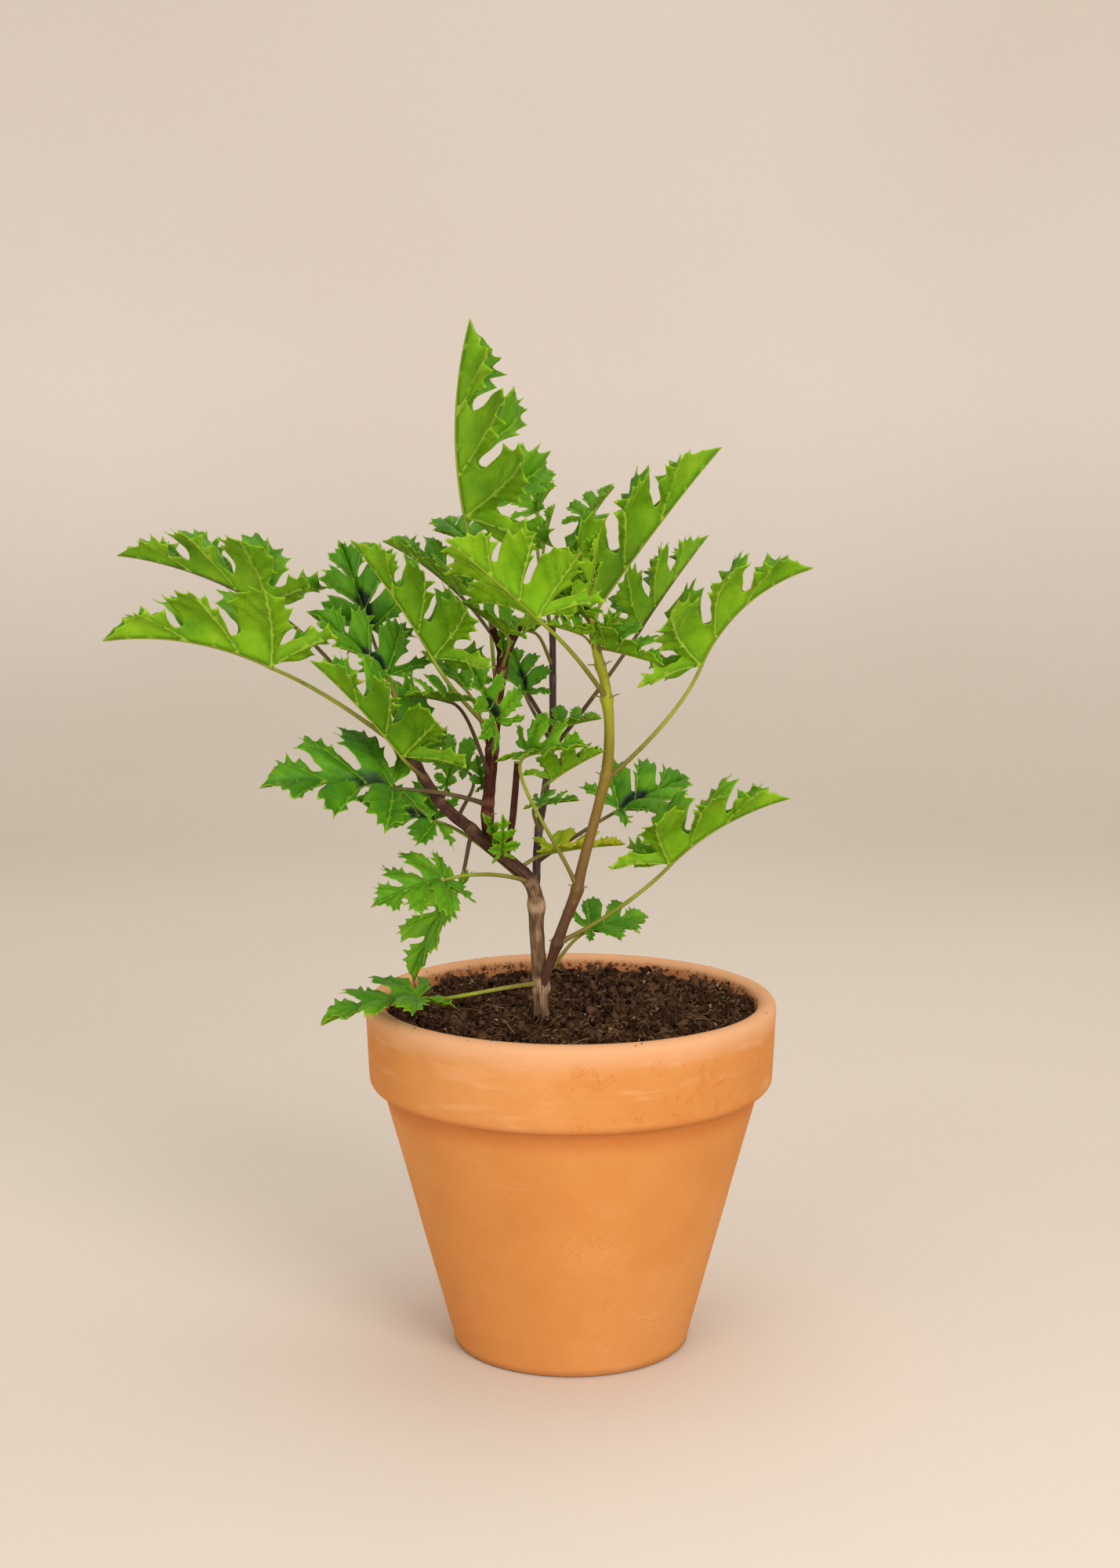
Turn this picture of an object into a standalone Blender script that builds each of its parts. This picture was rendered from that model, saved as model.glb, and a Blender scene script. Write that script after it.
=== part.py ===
"""Potted geranium: a terracotta pot, its compost, the woody stems and the lobed leaves. Metres, +Z up.
The pot stands on its base face, with the pot's axis on the world's Z axis."""

import math

import bmesh
import bpy
import numpy as np
from mathutils import Vector
from mathutils.geometry import delaunay_2d_cdt

MM = 0.001

# Pot, turned in one piece (mm)
POT_HEIGHT = 154.2
BASE_RADIUS = 52.4
BASE_EDGE = 2.0
WALL_RADIUS_UNDER_RIM = 81.8
WALL_THICKNESS = 7.0
FLOOR_THICKNESS = 9.0
RIM_RADIUS = 90.0
RIM_BAND_HEIGHT = 38.0
RIM_TAPER = 1.5
RIM_LIP_RADIUS = 4.15
DRAIN_HOLE_DIAMETER = 11.0
DRAIN_HOLE_RING = 27.0
DRAIN_HOLES = 3
POT_STEPS = 56

# Compost
SOIL_BELOW_RIM = 8.2
SOIL_STEPS = 40

# Plant
PLANT_SCALE = 1.0
TRUNK_DEPTH = 26.0
TRUNK_DIAMETER = 6.4
PETIOLE_DIAMETER = 1.9
LEAF_THICKNESS = 0.8
GAP = 0.3

SOIL_TOP = POT_HEIGHT - SOIL_BELOW_RIM

# Stem centre lines: x, y, height over the compost, diameter as a share of the trunk's (mm)
MAIN_STEM = [
    (-13, -6, -TRUNK_DEPTH, 0.86), (-13, -6, -4, 0.98), (-13, -6, 8, 1.05), (-13, -6, 16, 1.12),
    (-14, -6, 24, 1.0), (-15, -6, 40, 0.98), (-15, -6, 49, 1.12), (-16, -6, 56, 0.96),
    (-19, -7, 62, 0.94), (-24, -8, 67, 0.9), (-30, -9, 72, 0.88), (-37, -10, 78, 0.84),
    (-43, -12, 84, 0.8), (-50, -14, 90, 0.78), (-57, -17, 98, 0.72), (-63, -20, 108, 0.66),
    (-67, -22, 115, 0.62), (-72, -23, 121, 0.52),
]
CENTRE_BRANCH = [
    (-26, -8, 69, 0.6), (-32, -9, 74, 0.7), (-35, -8, 80, 0.78), (-36, -8, 89, 0.86), (-35, -6, 102, 0.8),
    (-34, -4, 117, 0.86), (-32, -2, 136, 0.78), (-30, 0, 149, 0.76), (-29, 0, 160, 0.8),
]
CENTRE_LEFT_PRONG = [(-29, 0, 156, 0.62), (-31, 0, 163, 0.6), (-34, 0, 169, 0.52)]
CENTRE_RIGHT_PRONG = [(-29, 0, 156, 0.62), (-26, -1, 163, 0.66), (-22, -2, 171, 0.62)]
BACK_BRANCH = [
    (-16, -5, 55, 0.5), (-15, 2, 59, 0.52), (-15, 9, 66, 0.56), (-14, 14, 80, 0.56), (-12, 17, 92, 0.54),
    (-9, 20, 113, 0.52), (-8, 22, 126, 0.5), (-8, 24, 140, 0.48), (-8, 26, 154, 0.46), (-8, 28, 168, 0.4),
]
RIGHT_BRANCH = [
    (-13, -7, 12, 0.6), (-11, -9, 19, 0.62), (-8, -11, 28, 0.66), (-6, -12, 34, 0.82), (-3, -13, 43, 0.7),
    (2, -14, 56, 0.84), (4, -14, 65, 0.72), (7, -14, 77, 0.7), (10, -14, 88, 0.68), (13, -14, 100, 0.7),
    (15, -14, 108, 0.8), (16, -14, 120, 0.7), (16, -14, 131, 0.68), (15, -14, 140, 0.78),
    (14, -14, 148, 0.66), (12, -14, 155, 0.68), (9, -14, 168, 0.54), (7, -15, 178, 0.4),
]
CUT_STUB = [(-28, -9, 71, 0.4), (-27, -11, 77, 0.44), (-25, -10, 89, 0.46), (-23, -8, 112, 0.44)]

# Half of the blade's outline, from the stalk round to the tip, in blade lengths (along, out)
OUTLINE = [
    (-0.020, 0.040), (-0.130, 0.120), (-0.220, 0.320), (-0.240, 0.440), (-0.140, 0.430), (-0.060, 0.300),
    (0.020, 0.140), (0.020, 0.340), (0.120, 0.510), (0.245, 0.570), (0.370, 0.450), (0.370, 0.330),
    (0.270, 0.130), (0.400, 0.290), (0.470, 0.380), (0.590, 0.450), (0.690, 0.300), (0.570, 0.095),
    (0.670, 0.190), (0.760, 0.245), (0.850, 0.230), (0.930, 0.080), (1.000, 0.000),
]
SMALL_OUTLINE = [
    (-0.020, 0.050), (-0.210, 0.270), (-0.210, 0.440), (-0.060, 0.340), (0.020, 0.150), (0.080, 0.470),
    (0.245, 0.570), (0.370, 0.430), (0.280, 0.130), (0.440, 0.350), (0.600, 0.440), (0.580, 0.110),
    (0.780, 0.230), (1.000, 0.000),
]
MIDRIB_POINTS = [0.12, 0.26, 0.40, 0.56, 0.72, 0.86]
SMALL_MIDRIB_POINTS = [0.15, 0.34, 0.54, 0.76]
LOBE_POINTS = [(-0.03, 0.14), (0.16, 0.22), (0.42, 0.14)]
SMALL_BLADE = 36.0



def rim_point(bearing, beyond_rim, above_rim):
    """A point given from the rim's edge, in the leaf table's own measure."""
    radius = (RIM_RADIUS + beyond_rim) / PLANT_SCALE
    angle = math.radians(bearing)
    height = (SOIL_BELOW_RIM + above_rim) / PLANT_SCALE
    return (radius * math.cos(angle), radius * math.sin(angle), height)


# Each leaf: stem, height of its joint, junction of stalk and blade, tip (x, y, height over the
# compost), the way the upper side faces, fold, width, droop and bow of the stalk (mm and degrees)
LEAVES = {
    "leaf_top": ("left_prong", 167, (-45, 0, 216), (-42, 0, 299), (1, -0.15, 0), 62, 1.1, -28, -3),
    "leaf_left_low_tip": ("main", 119, (-125, -30, 155), (-191, -50, 168), (0, 0.1, 1), 60, 0.95, 34, 3),
    "leaf_left_high_tip": ("main", 112, (-133, 20, 177), (-199, 30, 199), (0.3, 0, 1), 58, 0.85, 24, 2),
    "leaf_left_upper": ("centre", 124, (-58, -22, 158), (-91, -32, 208), (0.8, 0.1, 0.5), 62, 0.95, 10, -2),
    "leaf_left_blotched": ("main", 116, (-79, -10, 149), (-112, -10, 177), (0.2, -0.5, 0.8), 45, 1.0, 10, 0),
    "leaf_left_inner": ("main", 104, (-88, 25, 166), (-103, 40, 205), (0.2, -0.7, 0.5), 40, 1.0, 10, 0),
    "leaf_rear_upper": ("back", 122, (-49, 45, 180), (-85, 60, 204), (0.3, -0.2, 1), 45, 0.9, 20, 0),
    "leaf_rear_small": ("centre", 139, (-46, 62, 202), (-60, 87, 212), (0, -0.3, 1), 40, 1.0, 10, 4),
    "leaf_left_middle": ("main", 107, (-70, -42, 119), (-105, -62, 161), (0.7, 0, 0.7), 60, 1.05, 10, 0),
    "leaf_left_level": ("centre", 94, (-75, -35, 105), (-127, -60, 109), (0, -0.6, 0.8), 20, 1.0, 25, 3),
    "leaf_left_dark": ("main", 56, (-58, -10, 87), (-93, -20, 98), (0.1, -0.6, 0.5), 20, 0.8, 10, 2),
    "leaf_left_lower": ("main", 60, (-54, -42, 67), (-82, -64, 60), (0.1, -0.7, 0.7), 12, 0.95, 30, 4),
    "leaf_hanging": ("main", 83, (-49, -11, 57), (-68, -18, 18), (-0.75, -0.55, 0.3), 38, 0.95, 10, 3),
    "leaf_over_rim": (
        "main", 15, rim_point(211, -15, 7), rim_point(207, 27, 0), (0, -0.12, 1), 20, 1.0, 30, 1
    ),
    "leaf_centre_left": ("centre", 106, (-51, -32, 141), (-68, -54, 146), (0, -0.5, 0.9), 40, 0.9, 10, 2),
    "leaf_centre_dark": ("centre", 117, (-32, -42, 134), (-42, -62, 160), (0.3, -0.8, 0.4), 35, 0.9, 10, 0),
    "leaf_centre_yellow_stalk": (
        "right", 58, (-18, -27, 118), (7, -44, 124), (0, -0.6, 0.8), 45, 1.1, 10, 0
    ),
    "leaf_centre_right": ("back", 94, (-8, -16, 106), (14, -36, 121), (0, 0, 1), 50, 0.8, 10, 0),
    "leaf_rear_left": ("main", 88, (-46, 24, 104), (-68, 42, 114), (0, -0.6, 0.8), 40, 0.9, 10, 0),
    "leaf_centre_small": ("back", 78, (-14, -2, 93), (4, -9, 96), (0, -0.3, 1), 25, 0.9, 10, 0),
    "leaf_yellowing": ("main", 66, (-8, -1, 72), (24, 2, 75), (0, -0.2, 1), 36, 0.7, 10, 1),
    "leaf_right_blotched": ("back", 66, (21, 20, 87), (54, 44, 98), (-0.2, -0.7, 0.7), 35, 1.0, 10, 0),
    "leaf_right_lower": ("right", 34, (42, -20, 70), (91, -35, 101), (-0.45, 0, 0.9), 58, 0.9, 28, -4),
    "leaf_right_low_small": ("right", 20, (8, 10, 35), (35, 25, 38), (0, -0.5, 0.9), 30, 1.0, 10, 0),
    "leaf_right_far": ("right", 105, (55, -10, 154), (101, -20, 196), (-0.6, 0, 0.8), 56, 1.0, 50, -5),
    "leaf_right_tall": ("right", 152, (13, 4, 180), (63, -2, 246), (-0.8, 0, 0.6), 58, 0.9, 5, 0),
    "leaf_right_rear": ("back", 114, (31, 30, 167), (61, 45, 207), (-0.8, 0.1, 0.6), 62, 0.9, 5, -2),
    "leaf_right_inner": ("right", 162, (14, -20, 162), (38, -42, 157), (0.1, -0.1, 1), 58, 1.0, 5, 0),
    "leaf_front_pale": ("right", 140, (-14, -52, 177), (-50, -78, 210), (0.39, 0.77, 0.48), 38, 1.1, 10, 3),
    "leaf_young": ("right", 176, (7, -22, 183), (12, -37, 213), (-0.6, -0.4, 0.2), 72, 0.8, 0, 0),
    "leaf_rear_pale": ("back", 166, (8, 52, 213), (20, 70, 228), (-0.3, 0, 0.9), 45, 1.0, 10, 0),
    "leaf_rear_top": ("back", 160, (-15, 65, 216), (-10, 85, 235), (-0.3, 0, 0.9), 45, 1.0, 10, 0),
    "leaf_rear_middle": ("back", 158, (-12, 36, 203), (-7, 44, 221), (-0.3, 0, 0.9), 45, 0.9, 10, 0),
    "leaf_crinkled": ("centre", 150, (-28, -12, 168), (-47, -20, 182), (0, -0.4, 0.9), 50, 1.0, 10, 0),
    "leaf_rear_inner": ("centre", 114, (-46, 10, 142), (-66, 24, 157), (0, -0.2, 1), 45, 1.0, 10, 0),
    "leaf_inner_blotched": ("back", 116, (-20, 12, 140), (-27, 34, 158), (0.2, -0.7, 0.6), 40, 0.9, 10, 0),
    "leaf_rear_dark": ("back", 150, (-17, 20, 166), (-34, 28, 168), (0, -0.3, 0.9), 40, 0.9, 10, 0),
    "leaf_rear_right": ("back", 102, (-6, 8, 125), (14, 20, 128), (0, -0.2, 0.9), 45, 0.9, 10, 0),
    "leaf_tiny_centre": ("centre", 97, (-38, 2, 101), (-41, 6, 114), (0, -0.6, 0.6), 40, 0.9, 10, 0),
    "leaf_tiny_pale": ("main", 74, (-30, -17, 76), (-29, -26, 93), (0.2, -0.7, 0.5), 40, 0.8, 10, 0),
    "leaf_tiny_left": ("main", 103, (-54, 5, 100), (-50, 8, 113), (0, -0.3, 0.9), 40, 0.9, 10, 0),
}
STALK_THIN = 0.62
RECURVE = 26.0
FOLD_LOSS = 0.3

TERRACOTTA = (0.64, 0.27, 0.12, 1.0)
COMPOST = (0.03, 0.018, 0.011, 1.0)
BARK = (0.19, 0.12, 0.075, 1.0)
BRANCH = (0.10, 0.045, 0.03, 1.0)
GREEN_STEM = (0.27, 0.26, 0.06, 1.0)
LEAF_GREEN = (0.16, 0.34, 0.03, 1.0)

PATHS = {
    "main": MAIN_STEM,
    "centre": CENTRE_BRANCH,
    "left_prong": CENTRE_LEFT_PRONG,
    "back": BACK_BRANCH,
    "right": RIGHT_BRANCH,
}


def clear_scene():
    for obj in list(bpy.data.objects):
        bpy.data.objects.remove(obj, do_unlink=True)


def new_collection(name, helper=False):
    collection = bpy.data.collections.new(name)
    bpy.context.scene.collection.children.link(collection)
    collection.hide_render = helper
    return collection


def material(name, colour, roughness):
    mat = bpy.data.materials.new(name)
    mat.use_nodes = True
    shader = mat.node_tree.nodes["Principled BSDF"]
    shader.inputs["Base Color"].default_value = colour
    shader.inputs["Roughness"].default_value = roughness
    shader.inputs["Metallic"].default_value = 0.0
    mat.diffuse_color = colour
    return mat


def add_object(name, mesh, collection, mat=None):
    obj = bpy.data.objects.new(name, mesh)
    collection.objects.link(obj)
    if mat is not None:
        mesh.materials.append(mat)
    if collection.hide_render:
        obj.hide_render = True
        obj.display_type = "WIRE"
    return obj


def boolean(obj, other, operation, use_self=False):
    modifier = obj.modifiers.new(f"{operation.lower()}_{other.name}"[:60], "BOOLEAN")
    modifier.use_self = use_self
    modifier.operation = operation
    modifier.solver = "EXACT"
    modifier.object = other


def smooth(obj, degrees=40.0):
    obj.data.shade_smooth()
    obj.data.set_sharp_from_angle(angle=math.radians(degrees))


def plant_point(x, y, height):
    """A point of the plant's own measure, in metres in the scene."""
    return Vector((x * PLANT_SCALE, y * PLANT_SCALE, SOIL_TOP + height * PLANT_SCALE)) * MM


def stem_points(path):
    """The centre line as (point, radius) pairs in metres."""
    return [(plant_point(x, y, h), share * TRUNK_DIAMETER * PLANT_SCALE / 2 * MM) for x, y, h, share in path]


def tube(name, points, collection, sides=2, grow=0.0, mat=None):
    """A capped round rod of varying radius along a POLY spline, as a closed mesh."""
    curve = bpy.data.curves.new(name, "CURVE")
    curve.dimensions = "3D"
    curve.bevel_depth = 1.0
    curve.bevel_resolution = sides
    curve.use_fill_caps = True
    spline = curve.splines.new("POLY")
    spline.points.add(len(points) - 1)
    for item, (co, radius) in zip(spline.points, points):
        item.co = (*co, 1.0)
        item.radius = radius + grow
    guide = bpy.data.objects.new(name + "_guide", curve)
    bpy.context.scene.collection.objects.link(guide)
    graph = bpy.context.evaluated_depsgraph_get()
    mesh = bpy.data.meshes.new_from_object(guide.evaluated_get(graph))
    bpy.data.objects.remove(guide, do_unlink=True)
    return add_object(name, welded(mesh), collection, mat)


def welded(mesh):
    """Joins the caps' loose seams and turns every face outward."""
    bm = bmesh.new()
    bm.from_mesh(mesh)
    bmesh.ops.remove_doubles(bm, verts=bm.verts, dist=1e-7)
    bmesh.ops.recalc_face_normals(bm, faces=bm.faces)
    bm.to_mesh(mesh)
    bm.free()
    return mesh


def turned(name, profile, steps, collection, mat=None):
    """A closed profile of (radius, height) in mm, turned about the Z axis."""
    mesh = bpy.data.meshes.new(name)
    verts = [(r * MM, 0.0, z * MM) for r, z in profile]
    edges = [(i, i + 1) for i in range(len(verts) - 1)]
    if profile[0][0] > 1e-9:
        edges.append((len(verts) - 1, 0))
    mesh.from_pydata(verts, edges, [])
    obj = add_object(name, mesh, collection, mat)
    screw = obj.modifiers.new("turn", "SCREW")
    screw.axis = "Z"
    screw.steps = steps
    screw.render_steps = steps
    screw.use_merge_vertices = True
    screw.merge_threshold = 0.00001
    screw.use_normal_calculate = True
    screw.use_smooth_shade = True
    return obj


def arc(centre, radius, start, end, count):
    """Points on an arc in the profile's plane, from start to end in degrees."""
    angles = np.linspace(math.radians(start), math.radians(end), count)
    return [(centre[0] + radius * math.cos(a), centre[1] + radius * math.sin(a)) for a in angles]


def pot_inner_radius(height):
    """Radius of the pot's inner wall at a height over the base."""
    under_rim = POT_HEIGHT - RIM_BAND_HEIGHT
    slope = (WALL_RADIUS_UNDER_RIM - BASE_RADIUS) / under_rim
    body = BASE_RADIUS + slope * min(height, under_rim) - WALL_THICKNESS
    inner_lip = RIM_RADIUS - 2 * RIM_LIP_RADIUS
    if height <= under_rim:
        return body
    share = (height - under_rim) / RIM_BAND_HEIGHT
    return body + (inner_lip - body) * share


def pot_profile():
    """Outer side from the lip down to the base, then the floor and the inner wall up to the lip."""
    under_rim = POT_HEIGHT - RIM_BAND_HEIGHT
    lip_centre = (RIM_RADIUS - RIM_LIP_RADIUS, POT_HEIGHT - RIM_LIP_RADIUS)
    rim_foot = RIM_RADIUS - RIM_TAPER
    step = rim_foot - WALL_RADIUS_UNDER_RIM
    outer = arc(lip_centre, RIM_LIP_RADIUS, 90, 0, 5)
    outer.append((rim_foot, under_rim + step * 0.55))
    outer.append((rim_foot - step * 0.25, under_rim + step * 0.12))
    outer.append((rim_foot - step * 0.75, under_rim - step * 0.1))
    outer.append((WALL_RADIUS_UNDER_RIM, under_rim - step * 0.45))
    outer += arc((BASE_RADIUS - BASE_EDGE, BASE_EDGE), BASE_EDGE, -10, -90, 3)
    inner = [(pot_inner_radius(h), h) for h in (FLOOR_THICKNESS, under_rim * 0.5, under_rim)]
    inner += arc(lip_centre, RIM_LIP_RADIUS, 180, 112, 4)
    return outer + [(0.0, 0.0), (0.0, FLOOR_THICKNESS)] + inner


def build_pot(collection, cutters):
    profile = pot_profile()
    turn = profile.index((0.0, 0.0))
    ring = profile[turn + 1:] + profile[:turn + 1]
    pot = turned("pot", ring, POT_STEPS, collection, material("terracotta", TERRACOTTA, 0.85))
    for index in range(DRAIN_HOLES):
        angle = 2 * math.pi * (index + 0.25) / DRAIN_HOLES
        bm = bmesh.new()
        radius = DRAIN_HOLE_DIAMETER / 2 * MM
        bmesh.ops.create_cone(
            bm, cap_ends=True, segments=24, radius1=radius, radius2=radius, depth=FLOOR_THICKNESS * 3 * MM
        )
        mesh = bpy.data.meshes.new(f"drain_cutter_{index + 1}")
        bm.to_mesh(mesh)
        bm.free()
        cutter = add_object(mesh.name, mesh, cutters)
        cutter.location = Vector((math.cos(angle), math.sin(angle), 0.0)) * DRAIN_HOLE_RING * MM
        boolean(pot, cutter, "DIFFERENCE")
    return pot


def build_soil(collection, trunk_cutter):
    floor = FLOOR_THICKNESS + GAP
    under_rim = POT_HEIGHT - RIM_BAND_HEIGHT
    heights = (SOIL_TOP, under_rim, under_rim * 0.5, floor)
    wall = [(pot_inner_radius(h) - GAP * 1.5, h) for h in heights]
    soil = turned("soil", [(0.0, SOIL_TOP)] + wall + [(0.0, floor)], SOIL_STEPS, collection,
                  material("compost", COMPOST, 0.95))
    boolean(soil, trunk_cutter, "DIFFERENCE")
    return soil


def height_on(path, height):
    """The point of a centre line at a height over the compost."""
    for low, high in zip(path, path[1:]):
        if low[2] <= height <= high[2]:
            share = (height - low[2]) / (high[2] - low[2])
            return plant_point(*[a + (b - a) * share for a, b in zip(low[:3], high[:3])])
    return plant_point(*path[-1][:3])


class Blade:
    """Maps a flat blade (along and out, in blade lengths) to its folded and curled place."""

    def __init__(self, junction, tip, facing, fold, width, droop):
        self.start = junction
        chord = tip - junction
        self.along = chord.normalized()
        up = Vector(facing)
        self.up = (up - self.along * up.dot(self.along)).normalized()
        self.side = self.along.cross(self.up)
        self.droop = math.radians(droop)
        half = self.droop / 2
        self.length = chord.length * (half / math.sin(half) if abs(half) > 1e-6 else 1.0)
        self.fold = math.radians(fold)
        self.width = width

    def midrib(self, s):
        """Point and normal of the midrib at a share of its length."""
        start = self.droop / 2
        if s <= 0.0 or abs(self.droop) < 1e-6:
            angle = start if s <= 0.0 else 0.0
            run = s * self.length * math.cos(angle)
            rise = s * self.length * math.sin(angle)
        else:
            angle = start - self.droop * s
            run = self.length / self.droop * (math.sin(start) - math.sin(angle))
            rise = self.length / self.droop * (math.cos(angle) - math.cos(start))
        point = self.start + self.along * run + self.up * rise
        return point, self.up * math.cos(angle) - self.along * math.sin(angle)

    def point(self, s, t):
        base, normal = self.midrib(s)
        out = abs(t) * self.width * self.length
        bend = math.radians(RECURVE) / (0.5 * self.length)
        fold = self.fold * (1.0 - FOLD_LOSS * max(s, 0.0))
        across = (math.sin(fold) - math.sin(fold - bend * out)) / bend
        lift = (math.cos(fold - bend * out) - math.cos(fold)) / bend
        return base + self.side * math.copysign(across, t) + normal * lift


def blade_mesh(name, blade, small):
    half = SMALL_OUTLINE if small else OUTLINE
    ribs = SMALL_MIDRIB_POINTS if small else MIDRIB_POINTS
    ring = [(half[0][0], 0.0)] + half + [(s, -t) for s, t in half[-2::-1]]
    inner = [(s, 0.0) for s in ribs]
    if not small:
        inner += LOBE_POINTS + [(s, -t) for s, t in LOBE_POINTS]
    count = len(ring)
    tip = len(half)
    chain = [0] + [count + i for i in range(len(ribs))] + [tip]
    creases = list(zip(chain, chain[1:]))
    flat = [Vector(p) for p in ring + inner]
    verts, _, faces, *_ = delaunay_2d_cdt(flat, creases, [list(range(count))], 1, 1e-6)
    mesh = bpy.data.meshes.new(name)
    mesh.from_pydata([blade.point(v.x, v.y) for v in verts], [], [list(f) for f in faces])
    return mesh


def stalk_points(start, blade, bow):
    """The stalk from the stem's centre line into the midrib, as (point, radius) pairs."""
    end, normal = blade.midrib(0.0)
    ahead = (blade.midrib(0.02)[0] - end).normalized()
    reach = (end - start).length
    lift = Vector((0.0, 0.0, bow * PLANT_SCALE * MM))
    handles = [start, start.lerp(end, 0.33) + lift, end - ahead * reach * 0.28 + lift * 0.5, end]
    count = 6 if reach > 0.03 else 4
    points = []
    for index in range(count + 1):
        u = index / count
        v = 1.0 - u
        weights = (v ** 3, 3 * v * v * u, 3 * v * u * u, u ** 3)
        co = sum((h * w for h, w in zip(handles, weights)), Vector((0.0, 0.0, 0.0)))
        points.append((co, 1.0 - 0.18 * u))
    points.append((blade.midrib(0.2)[0], STALK_THIN))
    radius = PETIOLE_DIAMETER / 2 * MM
    thin = min(1.0, 0.7 + 0.3 * blade.length / 0.05)
    return [(co, radius * share * thin) for co, share in points]


def build_leaf(name, row, collection, cutters, stem_cutters, mat):
    stem, joint, junction, tip, facing, fold, width, droop, bow = row
    blade = Blade(plant_point(*junction), plant_point(*tip), facing, fold, width, droop)
    small = blade.length < SMALL_BLADE * PLANT_SCALE * MM
    leaf = add_object(name, blade_mesh(name, blade, small), collection, mat)
    solid = leaf.modifiers.new("thickness", "SOLIDIFY")
    solid.thickness = LEAF_THICKNESS * MM
    solid.offset = 0.0
    stalk = tube(name + "_stalk", stalk_points(height_on(PATHS[stem], joint), blade, bow), cutters, sides=1)
    boolean(leaf, stalk, "UNION", use_self=True)
    boolean(leaf, stem_cutters[stem], "DIFFERENCE")
    smooth(leaf)
    return leaf


def build():
    clear_scene()
    parts = new_collection("potted_geranium")
    cutters = new_collection("potted_geranium_cutters", helper=True)
    stem_cutters = {}
    for key, path in PATHS.items():
        stem_cutters[key] = tube(f"{key}_clearance", stem_points(path), cutters, grow=GAP * MM)
    trunk = stem_points(MAIN_STEM)
    foot, radius = trunk[0]
    hole = [(foot - Vector((0.0, 0.0, GAP * MM)), radius)] + trunk[1:6]
    trunk_hole = tube("trunk_hole", hole, cutters, grow=GAP * MM)
    build_pot(parts, cutters)
    build_soil(parts, trunk_hole)
    bark = material("bark", BARK, 0.9)
    red_stem = material("red_stem", BRANCH, 0.6)
    green_stem = material("green_stem", GREEN_STEM, 0.5)
    green = material("leaf_green", LEAF_GREEN, 0.5)
    smooth(tube("main_stem", trunk, parts, mat=bark))
    centre = tube("centre_branch", stem_points(CENTRE_BRANCH), parts, mat=red_stem)
    for key, path in (("left", CENTRE_LEFT_PRONG), ("right", CENTRE_RIGHT_PRONG)):
        boolean(centre, tube(f"{key}_prong", stem_points(path), cutters), "UNION")
    back = tube("back_branch", stem_points(BACK_BRANCH), parts, mat=red_stem)
    right = tube("right_branch", stem_points(RIGHT_BRANCH), parts, mat=green_stem)
    stub = tube("cut_stub", stem_points(CUT_STUB), parts, mat=red_stem)
    for branch in (centre, back, right, stub):
        boolean(branch, stem_cutters["main"], "DIFFERENCE")
        smooth(branch)
    boolean(stub, stem_cutters["centre"], "DIFFERENCE")
    for name, row in LEAVES.items():
        build_leaf(name, row, parts, cutters, stem_cutters, green)


build()
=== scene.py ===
"""Looks of the potted geranium: leaves, stems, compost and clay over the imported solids. Metres, +Z up."""

import math

import bmesh
import bpy
import numpy as np
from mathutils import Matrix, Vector, noise
from mathutils.geometry import delaunay_2d_cdt

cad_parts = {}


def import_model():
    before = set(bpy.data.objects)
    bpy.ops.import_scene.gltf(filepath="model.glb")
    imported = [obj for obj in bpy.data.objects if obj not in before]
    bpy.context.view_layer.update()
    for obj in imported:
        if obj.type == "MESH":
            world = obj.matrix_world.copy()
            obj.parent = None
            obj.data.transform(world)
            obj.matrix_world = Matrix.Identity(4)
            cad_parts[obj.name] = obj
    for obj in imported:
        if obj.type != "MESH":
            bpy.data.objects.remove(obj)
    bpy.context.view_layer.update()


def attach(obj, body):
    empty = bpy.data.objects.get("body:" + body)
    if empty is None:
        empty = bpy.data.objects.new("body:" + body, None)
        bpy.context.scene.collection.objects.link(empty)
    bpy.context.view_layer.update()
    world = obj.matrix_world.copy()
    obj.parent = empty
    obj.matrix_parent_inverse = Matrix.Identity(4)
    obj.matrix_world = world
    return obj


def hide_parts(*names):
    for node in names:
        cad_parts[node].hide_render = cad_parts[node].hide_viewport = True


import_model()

MM = 0.001
RNG = np.random.default_rng(7)

# Sizes of the pot and the plant, as built (mm)
POT_HEIGHT = 154.2
BASE_RADIUS = 52.4
BASE_EDGE = 2.0
WALL_RADIUS_UNDER_RIM = 81.8
WALL_THICKNESS = 7.0
FLOOR_THICKNESS = 9.0
RIM_RADIUS = 90.0
RIM_BAND_HEIGHT = 38.0
RIM_TAPER = 1.5
RIM_LIP_RADIUS = 4.15
DRAIN_HOLE_DIAMETER = 11.0
DRAIN_HOLE_RING = 27.0
SOIL_BELOW_RIM = 8.2
TRUNK_DEPTH = 26.0
TRUNK_DIAMETER = 6.4
PETIOLE_DIAMETER = 1.9
SOIL_TOP = POT_HEIGHT - SOIL_BELOW_RIM

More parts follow.
